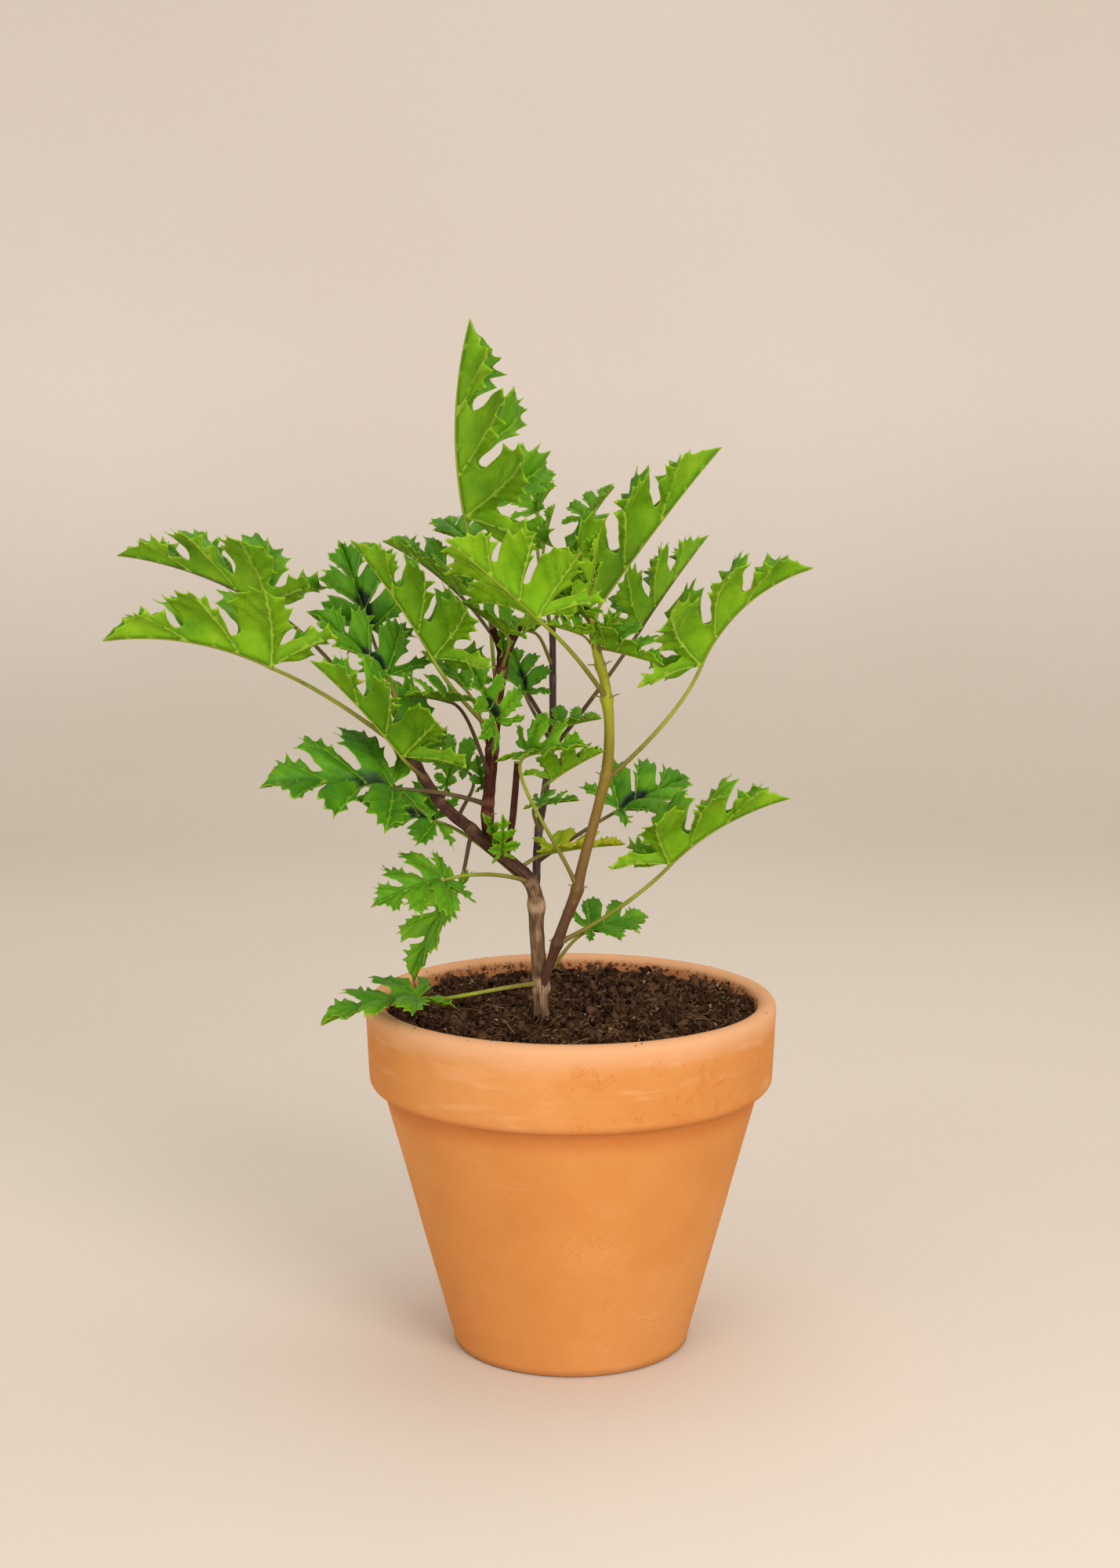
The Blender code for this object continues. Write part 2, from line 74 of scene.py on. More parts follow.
# Stem centre lines: x, y, height over the compost, diameter as a share of the trunk's (mm)
MAIN_STEM = [
    (-13, -6, -TRUNK_DEPTH, 0.86), (-13, -6, -4, 0.98), (-13, -6, 8, 1.05), (-13, -6, 16, 1.12),
    (-14, -6, 24, 1.0), (-15, -6, 40, 0.98), (-15, -6, 49, 1.12), (-16, -6, 56, 0.96),
    (-19, -7, 62, 0.94), (-24, -8, 67, 0.9), (-30, -9, 72, 0.88), (-37, -10, 78, 0.84),
    (-43, -12, 84, 0.8), (-50, -14, 90, 0.78), (-57, -17, 98, 0.72), (-63, -20, 108, 0.66),
    (-67, -22, 115, 0.62), (-72, -23, 121, 0.52),
]
CENTRE_BRANCH = [
    (-26, -8, 69, 0.6), (-32, -9, 74, 0.7), (-35, -8, 80, 0.78), (-36, -8, 89, 0.86), (-35, -6, 102, 0.8),
    (-34, -4, 117, 0.86), (-32, -2, 136, 0.78), (-30, 0, 149, 0.76), (-29, 0, 160, 0.8),
]
CENTRE_LEFT_PRONG = [(-29, 0, 156, 0.62), (-31, 0, 163, 0.6), (-34, 0, 169, 0.52)]
CENTRE_RIGHT_PRONG = [(-29, 0, 156, 0.62), (-26, -1, 163, 0.66), (-22, -2, 171, 0.62)]
BACK_BRANCH = [
    (-16, -5, 55, 0.5), (-15, 2, 59, 0.52), (-15, 9, 66, 0.56), (-14, 14, 80, 0.56), (-12, 17, 92, 0.54),
    (-9, 20, 113, 0.52), (-8, 22, 126, 0.5), (-8, 24, 140, 0.48), (-8, 26, 154, 0.46), (-8, 28, 168, 0.4),
]
RIGHT_BRANCH = [
    (-13, -7, 12, 0.6), (-11, -9, 19, 0.62), (-8, -11, 28, 0.66), (-6, -12, 34, 0.82), (-3, -13, 43, 0.7),
    (2, -14, 56, 0.84), (4, -14, 65, 0.72), (7, -14, 77, 0.7), (10, -14, 88, 0.68), (13, -14, 100, 0.7),
    (15, -14, 108, 0.8), (16, -14, 120, 0.7), (16, -14, 131, 0.68), (15, -14, 140, 0.78),
    (14, -14, 148, 0.66), (12, -14, 155, 0.68), (9, -14, 168, 0.54), (7, -15, 178, 0.4),
]
CUT_STUB = [(-28, -9, 71, 0.4), (-27, -11, 77, 0.44), (-25, -10, 89, 0.46), (-23, -8, 112, 0.44)]

PATHS = {
    "main": MAIN_STEM,
    "centre": CENTRE_BRANCH,
    "left_prong": CENTRE_LEFT_PRONG,
    "back": BACK_BRANCH,
    "right": RIGHT_BRANCH,
}
# Half of a blade's edge from the stalk round to the tip: along, out, and 1 for a sharp point
EDGE = [
    (-0.012, 0.030, 0), (-0.070, 0.070, 0), (-0.130, 0.115, 0), (-0.185, 0.195, 1), (-0.155, 0.235, 0),
    (-0.235, 0.325, 1), (-0.195, 0.345, 0), (-0.245, 0.445, 1), (-0.180, 0.400, 0), (-0.145, 0.450, 1),
    (-0.120, 0.355, 0), (-0.065, 0.375, 1), (-0.065, 0.280, 0), (-0.040, 0.215, 0), (-0.012, 0.165, 0),
    (0.010, 0.150, 0), (0.024, 0.180, 0), (0.030, 0.250, 0), (0.000, 0.335, 1), (0.055, 0.330, 0),
    (0.050, 0.435, 1), (0.110, 0.420, 0), (0.120, 0.520, 1), (0.175, 0.485, 0), (0.245, 0.575, 1),
    (0.245, 0.490, 0), (0.320, 0.530, 1), (0.298, 0.430, 0), (0.375, 0.445, 1), (0.330, 0.345, 0),
    (0.382, 0.335, 1), (0.315, 0.255, 0), (0.265, 0.180, 0), (0.240, 0.118, 0), (0.275, 0.105, 0),
    (0.340, 0.180, 0), (0.390, 0.235, 0), (0.405, 0.310, 1), (0.450, 0.295, 0), (0.470, 0.390, 1),
    (0.520, 0.355, 0), (0.590, 0.455, 1), (0.585, 0.365, 0), (0.655, 0.395, 1), (0.620, 0.295, 0),
    (0.695, 0.295, 1), (0.630, 0.210, 0), (0.575, 0.130, 0), (0.545, 0.072, 0), (0.598, 0.078, 0),
    (0.650, 0.130, 0), (0.670, 0.200, 1), (0.720, 0.170, 0), (0.760, 0.250, 1), (0.785, 0.185, 0),
    (0.840, 0.215, 1), (0.825, 0.135, 0), (0.885, 0.130, 1), (0.875, 0.075, 0), (0.935, 0.070, 1),
    (0.935, 0.040, 0), (1.000, 0.000, 1),
]
# Veins of half a blade: strength, then their points
VEINS = [
    (1.0, [(0.0, 0.0), (0.25, 0.0), (0.5, 0.0), (0.75, 0.0), (1.0, 0.0)]),
    (0.8, [(0.0, 0.0), (-0.05, 0.12), (-0.13, 0.27), (-0.24, 0.43)]),
    (0.9, [(0.0, 0.0), (0.07, 0.17), (0.15, 0.36), (0.24, 0.56)]),
    (0.85, [(0.20, 0.0), (0.32, 0.12), (0.45, 0.27), (0.585, 0.44)]),
    (0.75, [(0.50, 0.0), (0.62, 0.07), (0.74, 0.15), (0.845, 0.23)]),
    (0.35, [(-0.09, 0.20), (-0.13, 0.20), (-0.175, 0.195)]),
    (0.35, [(-0.14, 0.29), (-0.18, 0.31), (-0.225, 0.322)]),
    (0.35, [(-0.09, 0.20), (-0.09, 0.28), (-0.075, 0.36)]),
    (0.35, [(-0.15, 0.31), (-0.15, 0.37), (-0.147, 0.44)]),
    (0.35, [(0.08, 0.20), (0.05, 0.26), (0.01, 0.325)]),
    (0.35, [(0.12, 0.28), (0.09, 0.35), (0.058, 0.42)]),
    (0.35, [(0.16, 0.38), (0.15, 0.44), (0.125, 0.51)]),
    (0.35, [(0.18, 0.42), (0.25, 0.46), (0.315, 0.52)]),
    (0.40, [(0.13, 0.31), (0.25, 0.37), (0.365, 0.44)]),
    (0.40, [(0.09, 0.22), (0.22, 0.27), (0.370, 0.33)]),
    (0.35, [(0.36, 0.165), (0.39, 0.23), (0.405, 0.30)]),
    (0.35, [(0.42, 0.235), (0.45, 0.31), (0.468, 0.38)]),
    (0.40, [(0.47, 0.30), (0.57, 0.34), (0.645, 0.39)]),
    (0.40, [(0.40, 0.21), (0.54, 0.24), (0.685, 0.29)]),
    (0.30, [(0.33, 0.0), (0.42, 0.06), (0.52, 0.10)]),
    (0.30, [(0.64, 0.085), (0.66, 0.14), (0.670, 0.19)]),
    (0.30, [(0.72, 0.135), (0.75, 0.19), (0.760, 0.24)]),
    (0.35, [(0.70, 0.0), (0.79, 0.07), (0.890, 0.15)]),
    (0.30, [(0.84, 0.0), (0.88, 0.04), (0.930, 0.085)]),
]
# A half's curl back to its edge (degrees), how much flatter the tip is than the base, thickness (mm),
# how high each lobe rises between its veins (share of the blade), and the longest small blade (mm)
RECURVE = 26.0
FOLD_LOSS = 0.3
BLADE = 0.45
PLEAT = 0.070
SMALL_BLADE = 36.0
# Grid spacing of a blade, as a share of its length
BLADE_STEP = 0.021
RAMP_STOPS = (0.30, 0.50, 0.72)

CLODS = 7000
FIBRES = 1500
GRIT = 150
LIP_CRUMBS = 520
SOIL_ROWS, SOIL_COLUMNS = 84, 300
BITS_REACH = 77.0
POT_STEPS = 200
DRAIN_HOLES = 3

CAMERA_PLACE = (-0.0048, -1.005, 0.3935)
CAMERA_DOWN = 8.26
LENS = 54.0


# ------------------------------------------------------------------ materials
class Nodes:
    """Short names for building a material's node tree."""

    def __init__(self, name):
        self.material = bpy.data.materials.new(name)
        self.material.use_nodes = True
        self.tree = self.material.node_tree
        self.shader = self.tree.nodes["Principled BSDF"]

    def new(self, kind, **settings):
        node = self.tree.nodes.new(kind)
        for key, value in settings.items():
            if key[0].isupper():
                node.inputs[key.replace("_", " ")].default_value = value
            else:
                setattr(node, key, value)
        return node

    def link(self, out, into):
        self.tree.links.new(out, into)

    def object_co(self):
        return self.new("ShaderNodeTexCoord").outputs["Object"]

    def attribute(self, name):
        return self.new("ShaderNodeAttribute", attribute_name=name).outputs["Fac"]

    def uv(self):
        return self.new("ShaderNodeUVMap", uv_map="flat").outputs["UV"]

    def axes(self, co):
        """The X, Y and Z outputs of a vector."""
        node = self.new("ShaderNodeSeparateXYZ")
        self.link(co, node.inputs["Vector"])
        return node.outputs

    def scaled(self, co, scale):
        node = self.new("ShaderNodeMapping")
        node.inputs["Scale"].default_value = scale
        self.link(co, node.inputs["Vector"])
        return node.outputs["Vector"]

    def noise(self, co, scale, detail=4.0, rough=0.55, distort=0.0):
        node = self.new("ShaderNodeTexNoise", Scale=scale, Detail=detail, Roughness=rough, Distortion=distort)
        self.link(co, node.inputs["Vector"])
        return node.outputs["Fac"]

    def voronoi(self, co, scale, feature="F1"):
        node = self.new("ShaderNodeTexVoronoi", feature=feature, Scale=scale)
        self.link(co, node.inputs["Vector"])
        return node.outputs["Distance"]

    def ramp(self, fac, *stops):
        node = self.new("ShaderNodeValToRGB")
        items = node.color_ramp.elements
        while len(items) < len(stops):
            items.new(0.5)
        for item, (place, colour) in zip(items, stops):
            item.position = place
            item.color = (*colour, 1.0)
        self.link(fac, node.inputs["Fac"])
        return node.outputs["Color"]

    def steps(self, fac, low, high, to_low=0.0, to_high=1.0):
        node = self.new("ShaderNodeMapRange", interpolation_type="SMOOTHSTEP")
        for socket, value in zip(node.inputs[1:5], (low, high, to_low, to_high)):
            socket.default_value = value
        self.link(fac, node.inputs["Value"])
        return node.outputs["Result"]

    def times(self, a, b):
        return self.math("MULTIPLY", a, b)

    def plus(self, a, b):
        return self.math("ADD", a, b)

    def about_zero(self, value, amount):
        """A 0 to 1 value made to run either side of 0, then scaled."""
        return self.times(self.math("SUBTRACT", value, 0.5), amount)

    def math(self, operation, a, b=None):
        node = self.new("ShaderNodeMath", operation=operation)
        for socket, value in zip(node.inputs, (a, b)):
            if value is None:
                continue
            if isinstance(value, (int, float)):
                socket.default_value = value
            else:
                self.link(value, socket)
        return node.outputs[0]

    def mix(self, fac, a, b):
        node = self.new("ShaderNodeMix", data_type="RGBA")
        for socket, value in ((node.inputs["Factor"], fac), (node.inputs[6], a), (node.inputs[7], b)):
            if isinstance(value, tuple):
                socket.default_value = (*value, 1.0)
            elif isinstance(value, (int, float)):
                socket.default_value = value
            else:
                self.link(value, socket)
        return node.outputs[2]

    def bump(self, height, strength, distance, under=None):
        node = self.new("ShaderNodeBump", Strength=strength, Distance=distance)
        self.link(height, node.inputs["Height"])
        if under is not None:
            self.link(under, node.inputs["Normal"])
        return node.outputs["Normal"]

    def finish(self, colour, rough, normal, specular):
        self.link(colour, self.shader.inputs["Base Color"])
        if isinstance(rough, float):
            self.shader.inputs["Roughness"].default_value = rough
        else:
            self.link(rough, self.shader.inputs["Roughness"])
        if normal is not None:
            self.link(normal, self.shader.inputs["Normal"])
        self.shader.inputs["Specular IOR Level"].default_value = specular
        return self.material


def leaf_material(name, upper, warm):
    """Blade surface: patchy green by leaf, pale veins and margin, a dark blotch on the upper side."""
    n = Nodes(name)
    flat = n.uv()
    co = n.object_co()
    patch = n.noise(co, 55.0, 5.0, 0.6)
    if upper:
        old = ((0.021, 0.102, 0.003), (0.051, 0.198, 0.003), (0.114, 0.306, 0.006))
        young = ((0.068, 0.222, 0.003), (0.131, 0.330, 0.004), (0.211, 0.432, 0.008))
        vein_colour, edge_colour = (0.217, 0.432, 0.012), (0.319, 0.504, 0.015)
    else:
        # Underside: the leaf's own paler green, kept light also as painted light in place of the light that
        # shines through the thin blade.
        old = ((0.043, 0.138, 0.002), (0.091, 0.228, 0.003), (0.160, 0.318, 0.005))
        young = ((0.108, 0.270, 0.003), (0.188, 0.390, 0.005), (0.285, 0.492, 0.018))
        vein_colour, edge_colour = (0.388, 0.564, 0.050), (0.365, 0.552, 0.020)
    if warm:
        old = ((0.150, 0.280, 0.005), (0.420, 0.440, 0.008), (0.720, 0.580, 0.014))
        young = old
    tone = n.attribute("tone")
    base = n.mix(tone, n.ramp(patch, *zip(RAMP_STOPS, old)), n.ramp(patch, *zip(RAMP_STOPS, young)))
    vein = n.attribute("vein")
    near = n.attribute("groove")
    # Painted shade: the blade darkens to its deepest green along the grooves beside the veins, where shade
    # falls in the creases.
    base = n.mix(n.steps(near, 0.05, 0.75, 0.0, 0.55), base, old[0])
    cells = n.voronoi(flat, 40.0, "DISTANCE_TO_EDGE")
    net = n.steps(cells, 0.0, 0.12, 1.0, 0.0)
    fine = n.noise(flat, 160.0, 3.0, 0.6)
    base = n.mix(n.times(net, 0.05), base, vein_colour)
    base = n.mix(n.steps(fine, 0.45, 0.8, 0.0, 0.20), base, young[2])
    blotch = n.plus(n.attribute("blotch"), n.about_zero(patch, 0.9))
    if upper:
        base = n.mix(n.steps(blotch, 0.35, 0.75, 0.0, 0.94), base, (0.010, 0.018, 0.016))
    else:
        base = n.mix(n.steps(blotch, 0.35, 0.85, 0.0, 0.45), base, (0.050, 0.110, 0.010))
    base = n.mix(n.steps(vein, 0.45, 0.95, 0.0, 0.75 if upper else 0.70), base, vein_colour)
    base = n.mix(n.steps(n.attribute("edge"), 0.70, 1.0, 0.0, 0.55), base, edge_colour)
    tips = n.times(n.attribute("edge"), n.steps(n.noise(co, 90.0, 2.0), 0.60, 0.72))
    base = n.mix(n.times(tips, 0.6), base, (0.300, 0.190, 0.030))
    spots = n.noise(co, 260.0, 2.0, 0.5)
    base = n.mix(n.steps(spots, 0.74, 0.79, 0.0, 0.6), base, (0.240, 0.220, 0.030))
    swell = n.math("SUBTRACT", n.times(cells, 1.6), n.times(vein, 0.5))
    normal = n.bump(n.plus(swell, n.times(fine, 0.25)), 0.40, 0.0004)
    rough = n.steps(fine, 0.2, 0.8, 0.36 if upper else 0.46, 0.54 if upper else 0.62)
    return n.finish(base, rough, normal, 0.16 if upper else 0.10)


def stalk_material(name, low, high, spots, rise=()):
    """Stalks and young stems: streaked along their length, and browner near the stem unless rise is given.

    rise holds (from z, to z, colour below).
    """
    n = Nodes(name)
    flat = n.uv()
    streak = n.noise(n.scaled(flat, (3.0, 1.2, 1.0)), 9.0, 4.0, 0.6)
    co = n.object_co()
    patch = n.noise(co, 38.0, 3.0)
    base = n.ramp(patch, (0.34, low), (0.64, high))
    for start, end, below in rise:
        level = n.plus(n.axes(co)[2], n.about_zero(patch, 0.030))
        base = n.mix(n.steps(level, start, end, 1.0, 0.0), base, below)
    if not rise:
        base = n.mix(n.steps(n.axes(flat)[1], 0.05, 0.80, 0.75, 0.0), base, spots)
    base = n.mix(n.steps(streak, 0.5, 0.75, 0.0, 0.4), base, spots)
    fleck = n.noise(co, 420.0, 2.0)
    base = n.mix(n.steps(fleck, 0.60, 0.72, 0.0, 0.5), base, spots)
    normal = n.bump(n.plus(streak, n.times(fleck, 0.4)), 0.4, 0.0003)
    return n.finish(base, n.steps(streak, 0.2, 0.8, 0.42, 0.60), normal, 0.18)


def bark_material(name, dark, mid, light, above=None):
    """Woody stems: long furrows, ring scars and lighter ridges. above holds (from z, to z, colours)."""
    n = Nodes(name)
    flat = n.uv()
    furrow = n.noise(n.scaled(flat, (7.5, 0.42, 1.0)), 8.0, 5.0, 0.62, 0.2)
    ridge = n.attribute("ridge")
    height = n.plus(n.times(furrow, 0.62), n.times(ridge, 0.38))
    base = n.ramp(height, (0.34, dark), (0.50, mid), (0.68, light))
    if above:
        start, end, upper = above
        young = n.ramp(height, *zip(RAMP_STOPS, upper))
        base = n.mix(n.steps(n.axes(n.object_co())[2], start, end), base, young)
        light = upper[2]
    grain = n.noise(n.object_co(), 700.0, 3.0)
    base = n.mix(n.steps(grain, 0.45, 0.8, 0.0, 0.45), base, light)
    normal = n.bump(n.plus(height, n.times(grain, 0.25)), 0.7, 0.0006)
    return n.finish(base, n.steps(furrow, 0.2, 0.8, 0.62, 0.88), normal, 0.12)


def terracotta_material():
    """Fired clay: even orange body, pinker lip, water marks on the rim, pits, specks and faint scratches."""
    n = Nodes("terracotta_clay")
    co = n.object_co()
    x, y, z = n.axes(co)
    cloud = n.noise(co, 14.0, 5.0, 0.6)
    body = (0.30, (0.55, 0.207, 0.050)), (0.52, (0.60, 0.242, 0.063)), (0.74, (0.65, 0.292, 0.096))
    base = n.ramp(cloud, *body)
    lip = n.plus(z, n.about_zero(cloud, 0.008))
    base = n.mix(n.steps(lip, 0.1410, 0.1530, 0.0, 0.80), base, (0.70, 0.38, 0.200))
    # Painted shade: a darker, redder band on the rim's underside and the wall just below it, where the rim
    # overhang shades the body.
    under = n.times(n.steps(z, 0.104, 0.113), n.steps(z, 0.115, 0.121, 1.0, 0.0))
    base = n.mix(n.times(under, 0.55), base, (0.46, 0.13, 0.028))
    wave = n.noise(co, 95.0, 3.0, 0.55, 0.6)
    outline = n.times(n.steps(wave, 0.596, 0.606), n.steps(wave, 0.624, 0.636, 1.0, 0.25))
    mark = n.times(outline, n.steps(x, -0.030, 0.020, 0.20, 1.0))
    on_rim = n.times(n.steps(z, 0.106, 0.112), n.steps(z, 0.142, 0.150, 1.0, 0.0))
    mark = n.times(mark, on_rim)
    base = n.mix(n.times(mark, 0.50), base, (0.56, 0.155, 0.024))
    rings = n.times(n.steps(n.noise(n.scaled(co, (1.0, 1.0, 5.0)), 30.0, 3.0), 0.55, 0.70), 0.35)
    base = n.mix(n.times(rings, n.steps(z, 0.115, 0.121)), base, (0.72, 0.370, 0.170))
    pits = n.voronoi(co, 620.0)
    where = n.times(n.steps(n.noise(co, 26.0, 3.0), 0.54, 0.64), n.steps(z, 0.070, 0.088, 1.0, 0.0))
    dots = n.times(n.steps(pits, 0.14, 0.30, 1.0, 0.0), where)
    base = n.mix(n.times(dots, 0.45), base, (0.40, 0.115, 0.025))
    pale = n.steps(n.noise(co, 950.0, 2.0), 0.62, 0.78, 0.0, 0.18)
    base = n.mix(pale, base, (0.80, 0.47, 0.27))
    scratch = n.noise(n.scaled(co, (1.0, 1.0, 60.0)), 16.0, 3.0, 0.5)
    base = n.mix(n.steps(scratch, 0.62, 0.78, 0.0, 0.20), base, (0.76, 0.40, 0.20))
    radius = n.math("SQRT", n.plus(n.times(x, x), n.times(y, y)))
    inner = n.times(n.steps(radius, 0.0825, 0.0840, 1.0, 0.0), n.steps(z, 0.1495, 0.1530, 1.0, 0.0))
    inner = n.times(inner, n.steps(z, 0.116, 0.120))
    # Painted shade: the inner wall of the rim is darkened inside the pot. The crumb specks mixed in next are
    # real soil stuck to it.
    base = n.mix(n.times(inner, 0.75), base, (0.40, 0.130, 0.040))
    crumbs = n.steps(n.noise(co, 330.0, 4.0, 0.7), 0.50, 0.56)
    base = n.mix(n.times(inner, crumbs), base, (0.070, 0.026, 0.010))
    foot = n.steps(z, 0.0, 0.004, 0.6, 0.0)
    base = n.mix(foot, base, (0.22, 0.08, 0.03))
    grain = n.noise(co, 1500.0, 4.0, 0.7)
    turning = n.noise(n.scaled(co, (1.0, 1.0, 26.0)), 6.0, 3.0, 0.5)
    normal = n.bump(turning, 0.10, 0.0010)
    normal = n.bump(n.math("SUBTRACT", grain, n.times(dots, 1.2)), 0.22, 0.0004, normal)
    rough = n.steps(cloud, 0.25, 0.75, 0.74, 0.90)
    return n.finish(base, rough, normal, 0.12)


def soil_material():
    """Moist compost: near black with brown crumbs and fine fibre."""
    n = Nodes("compost_crumbs")
    co = n.object_co()
    crumb = n.noise(co, 210.0, 6.0, 0.7)
    fibre = n.noise(n.scaled(co, (3.0, 1.0, 2.0)), 480.0, 4.0, 0.6, 0.8)
    tint = n.attribute("tint")
    base = n.ramp(crumb, (0.40, (0.0035, 0.0013, 0.0006)), (0.66, (0.090, 0.040, 0.018)))
    base = n.mix(n.times(tint, 0.8), base, (0.185, 0.092, 0.045))
    base = n.mix(n.steps(fibre, 0.60, 0.72, 0.0, 0.5), base, (0.16, 0.10, 0.055))
    normal = n.bump(n.plus(crumb, fibre), 0.9, 0.0009)
    return n.finish(base, n.steps(crumb, 0.2, 0.8, 0.80, 0.98), normal, 0.05)


def plain_material(name, low, high, scale):
    """A mottled surface for small bits: fibres, grit, husks and cut wood."""
    n = Nodes(name)
    co = n.object_co()
    grain = n.noise(co, scale, 4.0, 0.6)
    base = n.ramp(grain, (0.3, low), (0.7, high))
    return n.finish(base, n.steps(grain, 0.2, 0.8, 0.6, 0.8), n.bump(grain, 0.5, 0.0003), 0.08)


# ------------------------------------------------------------------ geometry helpers
def plant_point(x, y, height):
    return Vector((x, y, SOIL_TOP + height)) * MM


def rim_point(bearing, beyond_rim, above_rim):
    angle = math.radians(bearing)
    radius = RIM_RADIUS + beyond_rim
    return (radius * math.cos(angle), radius * math.sin(angle), SOIL_BELOW_RIM + above_rim)


# Each leaf: stem, height of its joint, junction, tip, the way its upper side faces, fold, width, droop, bow
LEAVES = {
    "leaf_top": ("left_prong", 167, (-45, 0, 216), (-42, 0, 299), (1, -0.15, 0), 62, 1.1, -28, -3),
    "leaf_left_low_tip": ("main", 119, (-125, -30, 155), (-191, -50, 168), (0, 0.1, 1), 60, 0.95, 34, 3),
    "leaf_left_high_tip": ("main", 112, (-133, 20, 177), (-199, 30, 199), (0.3, 0, 1), 58, 0.85, 24, 2),
    "leaf_left_upper": ("centre", 124, (-58, -22, 158), (-91, -32, 208), (0.8, 0.1, 0.5), 62, 0.95, 10, -2),
    "leaf_left_blotched": ("main", 116, (-79, -10, 149), (-112, -10, 177), (0.2, -0.5, 0.8), 45, 1.0, 10, 0),
    "leaf_left_inner": ("main", 104, (-88, 25, 166), (-103, 40, 205), (0.2, -0.7, 0.5), 40, 1.0, 10, 0),
    "leaf_rear_upper": ("back", 122, (-49, 45, 180), (-85, 60, 204), (0.3, -0.2, 1), 45, 0.9, 20, 0),
    "leaf_rear_small": ("centre", 139, (-46, 62, 202), (-60, 87, 212), (0, -0.3, 1), 40, 1.0, 10, 4),
    "leaf_left_middle": ("main", 107, (-70, -42, 119), (-105, -62, 161), (0.7, 0, 0.7), 60, 1.05, 10, 0),
    "leaf_left_level": ("centre", 94, (-75, -35, 105), (-127, -60, 109), (0, -0.6, 0.8), 20, 1.0, 25, 3),
    "leaf_left_dark": ("main", 56, (-58, -10, 87), (-93, -20, 98), (0.1, -0.6, 0.5), 20, 0.8, 10, 2),
    "leaf_left_lower": ("main", 60, (-54, -42, 67), (-82, -64, 60), (0.1, -0.7, 0.7), 12, 0.95, 30, 4),
    "leaf_hanging": ("main", 83, (-49, -11, 57), (-68, -18, 18), (-0.75, -0.55, 0.3), 38, 0.95, 10, 3),
    "leaf_over_rim": (
        "main", 15, rim_point(211, -15, 7), rim_point(207, 27, 0), (0, -0.12, 1), 20, 1.0, 30, 1
    ),
    "leaf_centre_left": ("centre", 106, (-51, -32, 141), (-68, -54, 146), (0, -0.5, 0.9), 40, 0.9, 10, 2),
    "leaf_centre_dark": ("centre", 117, (-32, -42, 134), (-42, -62, 160), (0.3, -0.8, 0.4), 35, 0.9, 10, 0),
    "leaf_centre_yellow_stalk": (
        "right", 58, (-18, -27, 118), (7, -44, 124), (0, -0.6, 0.8), 45, 1.1, 10, 0
    ),
    "leaf_centre_right": ("back", 94, (-8, -16, 106), (14, -36, 121), (0, 0, 1), 50, 0.8, 10, 0),
    "leaf_rear_left": ("main", 88, (-46, 24, 104), (-68, 42, 114), (0, -0.6, 0.8), 40, 0.9, 10, 0),
    "leaf_centre_small": ("back", 78, (-14, -2, 93), (4, -9, 96), (0, -0.3, 1), 25, 0.9, 10, 0),
    "leaf_yellowing": ("main", 66, (-8, -1, 72), (24, 2, 75), (0, -0.2, 1), 36, 0.7, 10, 1),
    "leaf_right_blotched": ("back", 66, (21, 20, 87), (54, 44, 98), (-0.2, -0.7, 0.7), 35, 1.0, 10, 0),
    "leaf_right_lower": ("right", 34, (42, -20, 70), (91, -35, 101), (-0.45, 0, 0.9), 58, 0.9, 28, -4),
    "leaf_right_low_small": ("right", 20, (8, 10, 35), (35, 25, 38), (0, -0.5, 0.9), 30, 1.0, 10, 0),
    "leaf_right_far": ("right", 105, (55, -10, 154), (101, -20, 196), (-0.6, 0, 0.8), 56, 1.0, 50, -5),
    "leaf_right_tall": ("right", 152, (13, 4, 180), (63, -2, 246), (-0.8, 0, 0.6), 58, 0.9, 5, 0),
    "leaf_right_rear": ("back", 114, (31, 30, 167), (61, 45, 207), (-0.8, 0.1, 0.6), 62, 0.9, 5, -2),
    "leaf_right_inner": ("right", 162, (14, -20, 162), (38, -42, 157), (0.1, -0.1, 1), 58, 1.0, 5, 0),
    "leaf_front_pale": ("right", 140, (-14, -52, 177), (-50, -78, 210), (0.39, 0.77, 0.48), 38, 1.1, 10, 3),
    "leaf_young": ("right", 176, (7, -22, 183), (12, -37, 213), (-0.6, -0.4, 0.2), 72, 0.8, 0, 0),
    "leaf_rear_pale": ("back", 166, (8, 52, 213), (20, 70, 228), (-0.3, 0, 0.9), 45, 1.0, 10, 0),
    "leaf_rear_top": ("back", 160, (-15, 65, 216), (-10, 85, 235), (-0.3, 0, 0.9), 45, 1.0, 10, 0),
    "leaf_rear_middle": ("back", 158, (-12, 36, 203), (-7, 44, 221), (-0.3, 0, 0.9), 45, 0.9, 10, 0),
    "leaf_crinkled": ("centre", 150, (-28, -12, 168), (-47, -20, 182), (0, -0.4, 0.9), 50, 1.0, 10, 0),
    "leaf_rear_inner": ("centre", 114, (-46, 10, 142), (-66, 24, 157), (0, -0.2, 1), 45, 1.0, 10, 0),
    "leaf_inner_blotched": ("back", 116, (-20, 12, 140), (-27, 34, 158), (0.2, -0.7, 0.6), 40, 0.9, 10, 0),
    "leaf_rear_dark": ("back", 150, (-17, 20, 166), (-34, 28, 168), (0, -0.3, 0.9), 40, 0.9, 10, 0),
    "leaf_rear_right": ("back", 102, (-6, 8, 125), (14, 20, 128), (0, -0.2, 0.9), 45, 0.9, 10, 0),
    "leaf_tiny_centre": ("centre", 97, (-38, 2, 101), (-41, 6, 114), (0, -0.6, 0.6), 40, 0.9, 10, 0),
    "leaf_tiny_pale": ("main", 74, (-30, -17, 76), (-29, -26, 93), (0.2, -0.7, 0.5), 40, 0.8, 10, 0),
    "leaf_tiny_left": ("main", 103, (-54, 5, 100), (-50, 8, 113), (0, -0.3, 0.9), 40, 0.9, 10, 0),
}
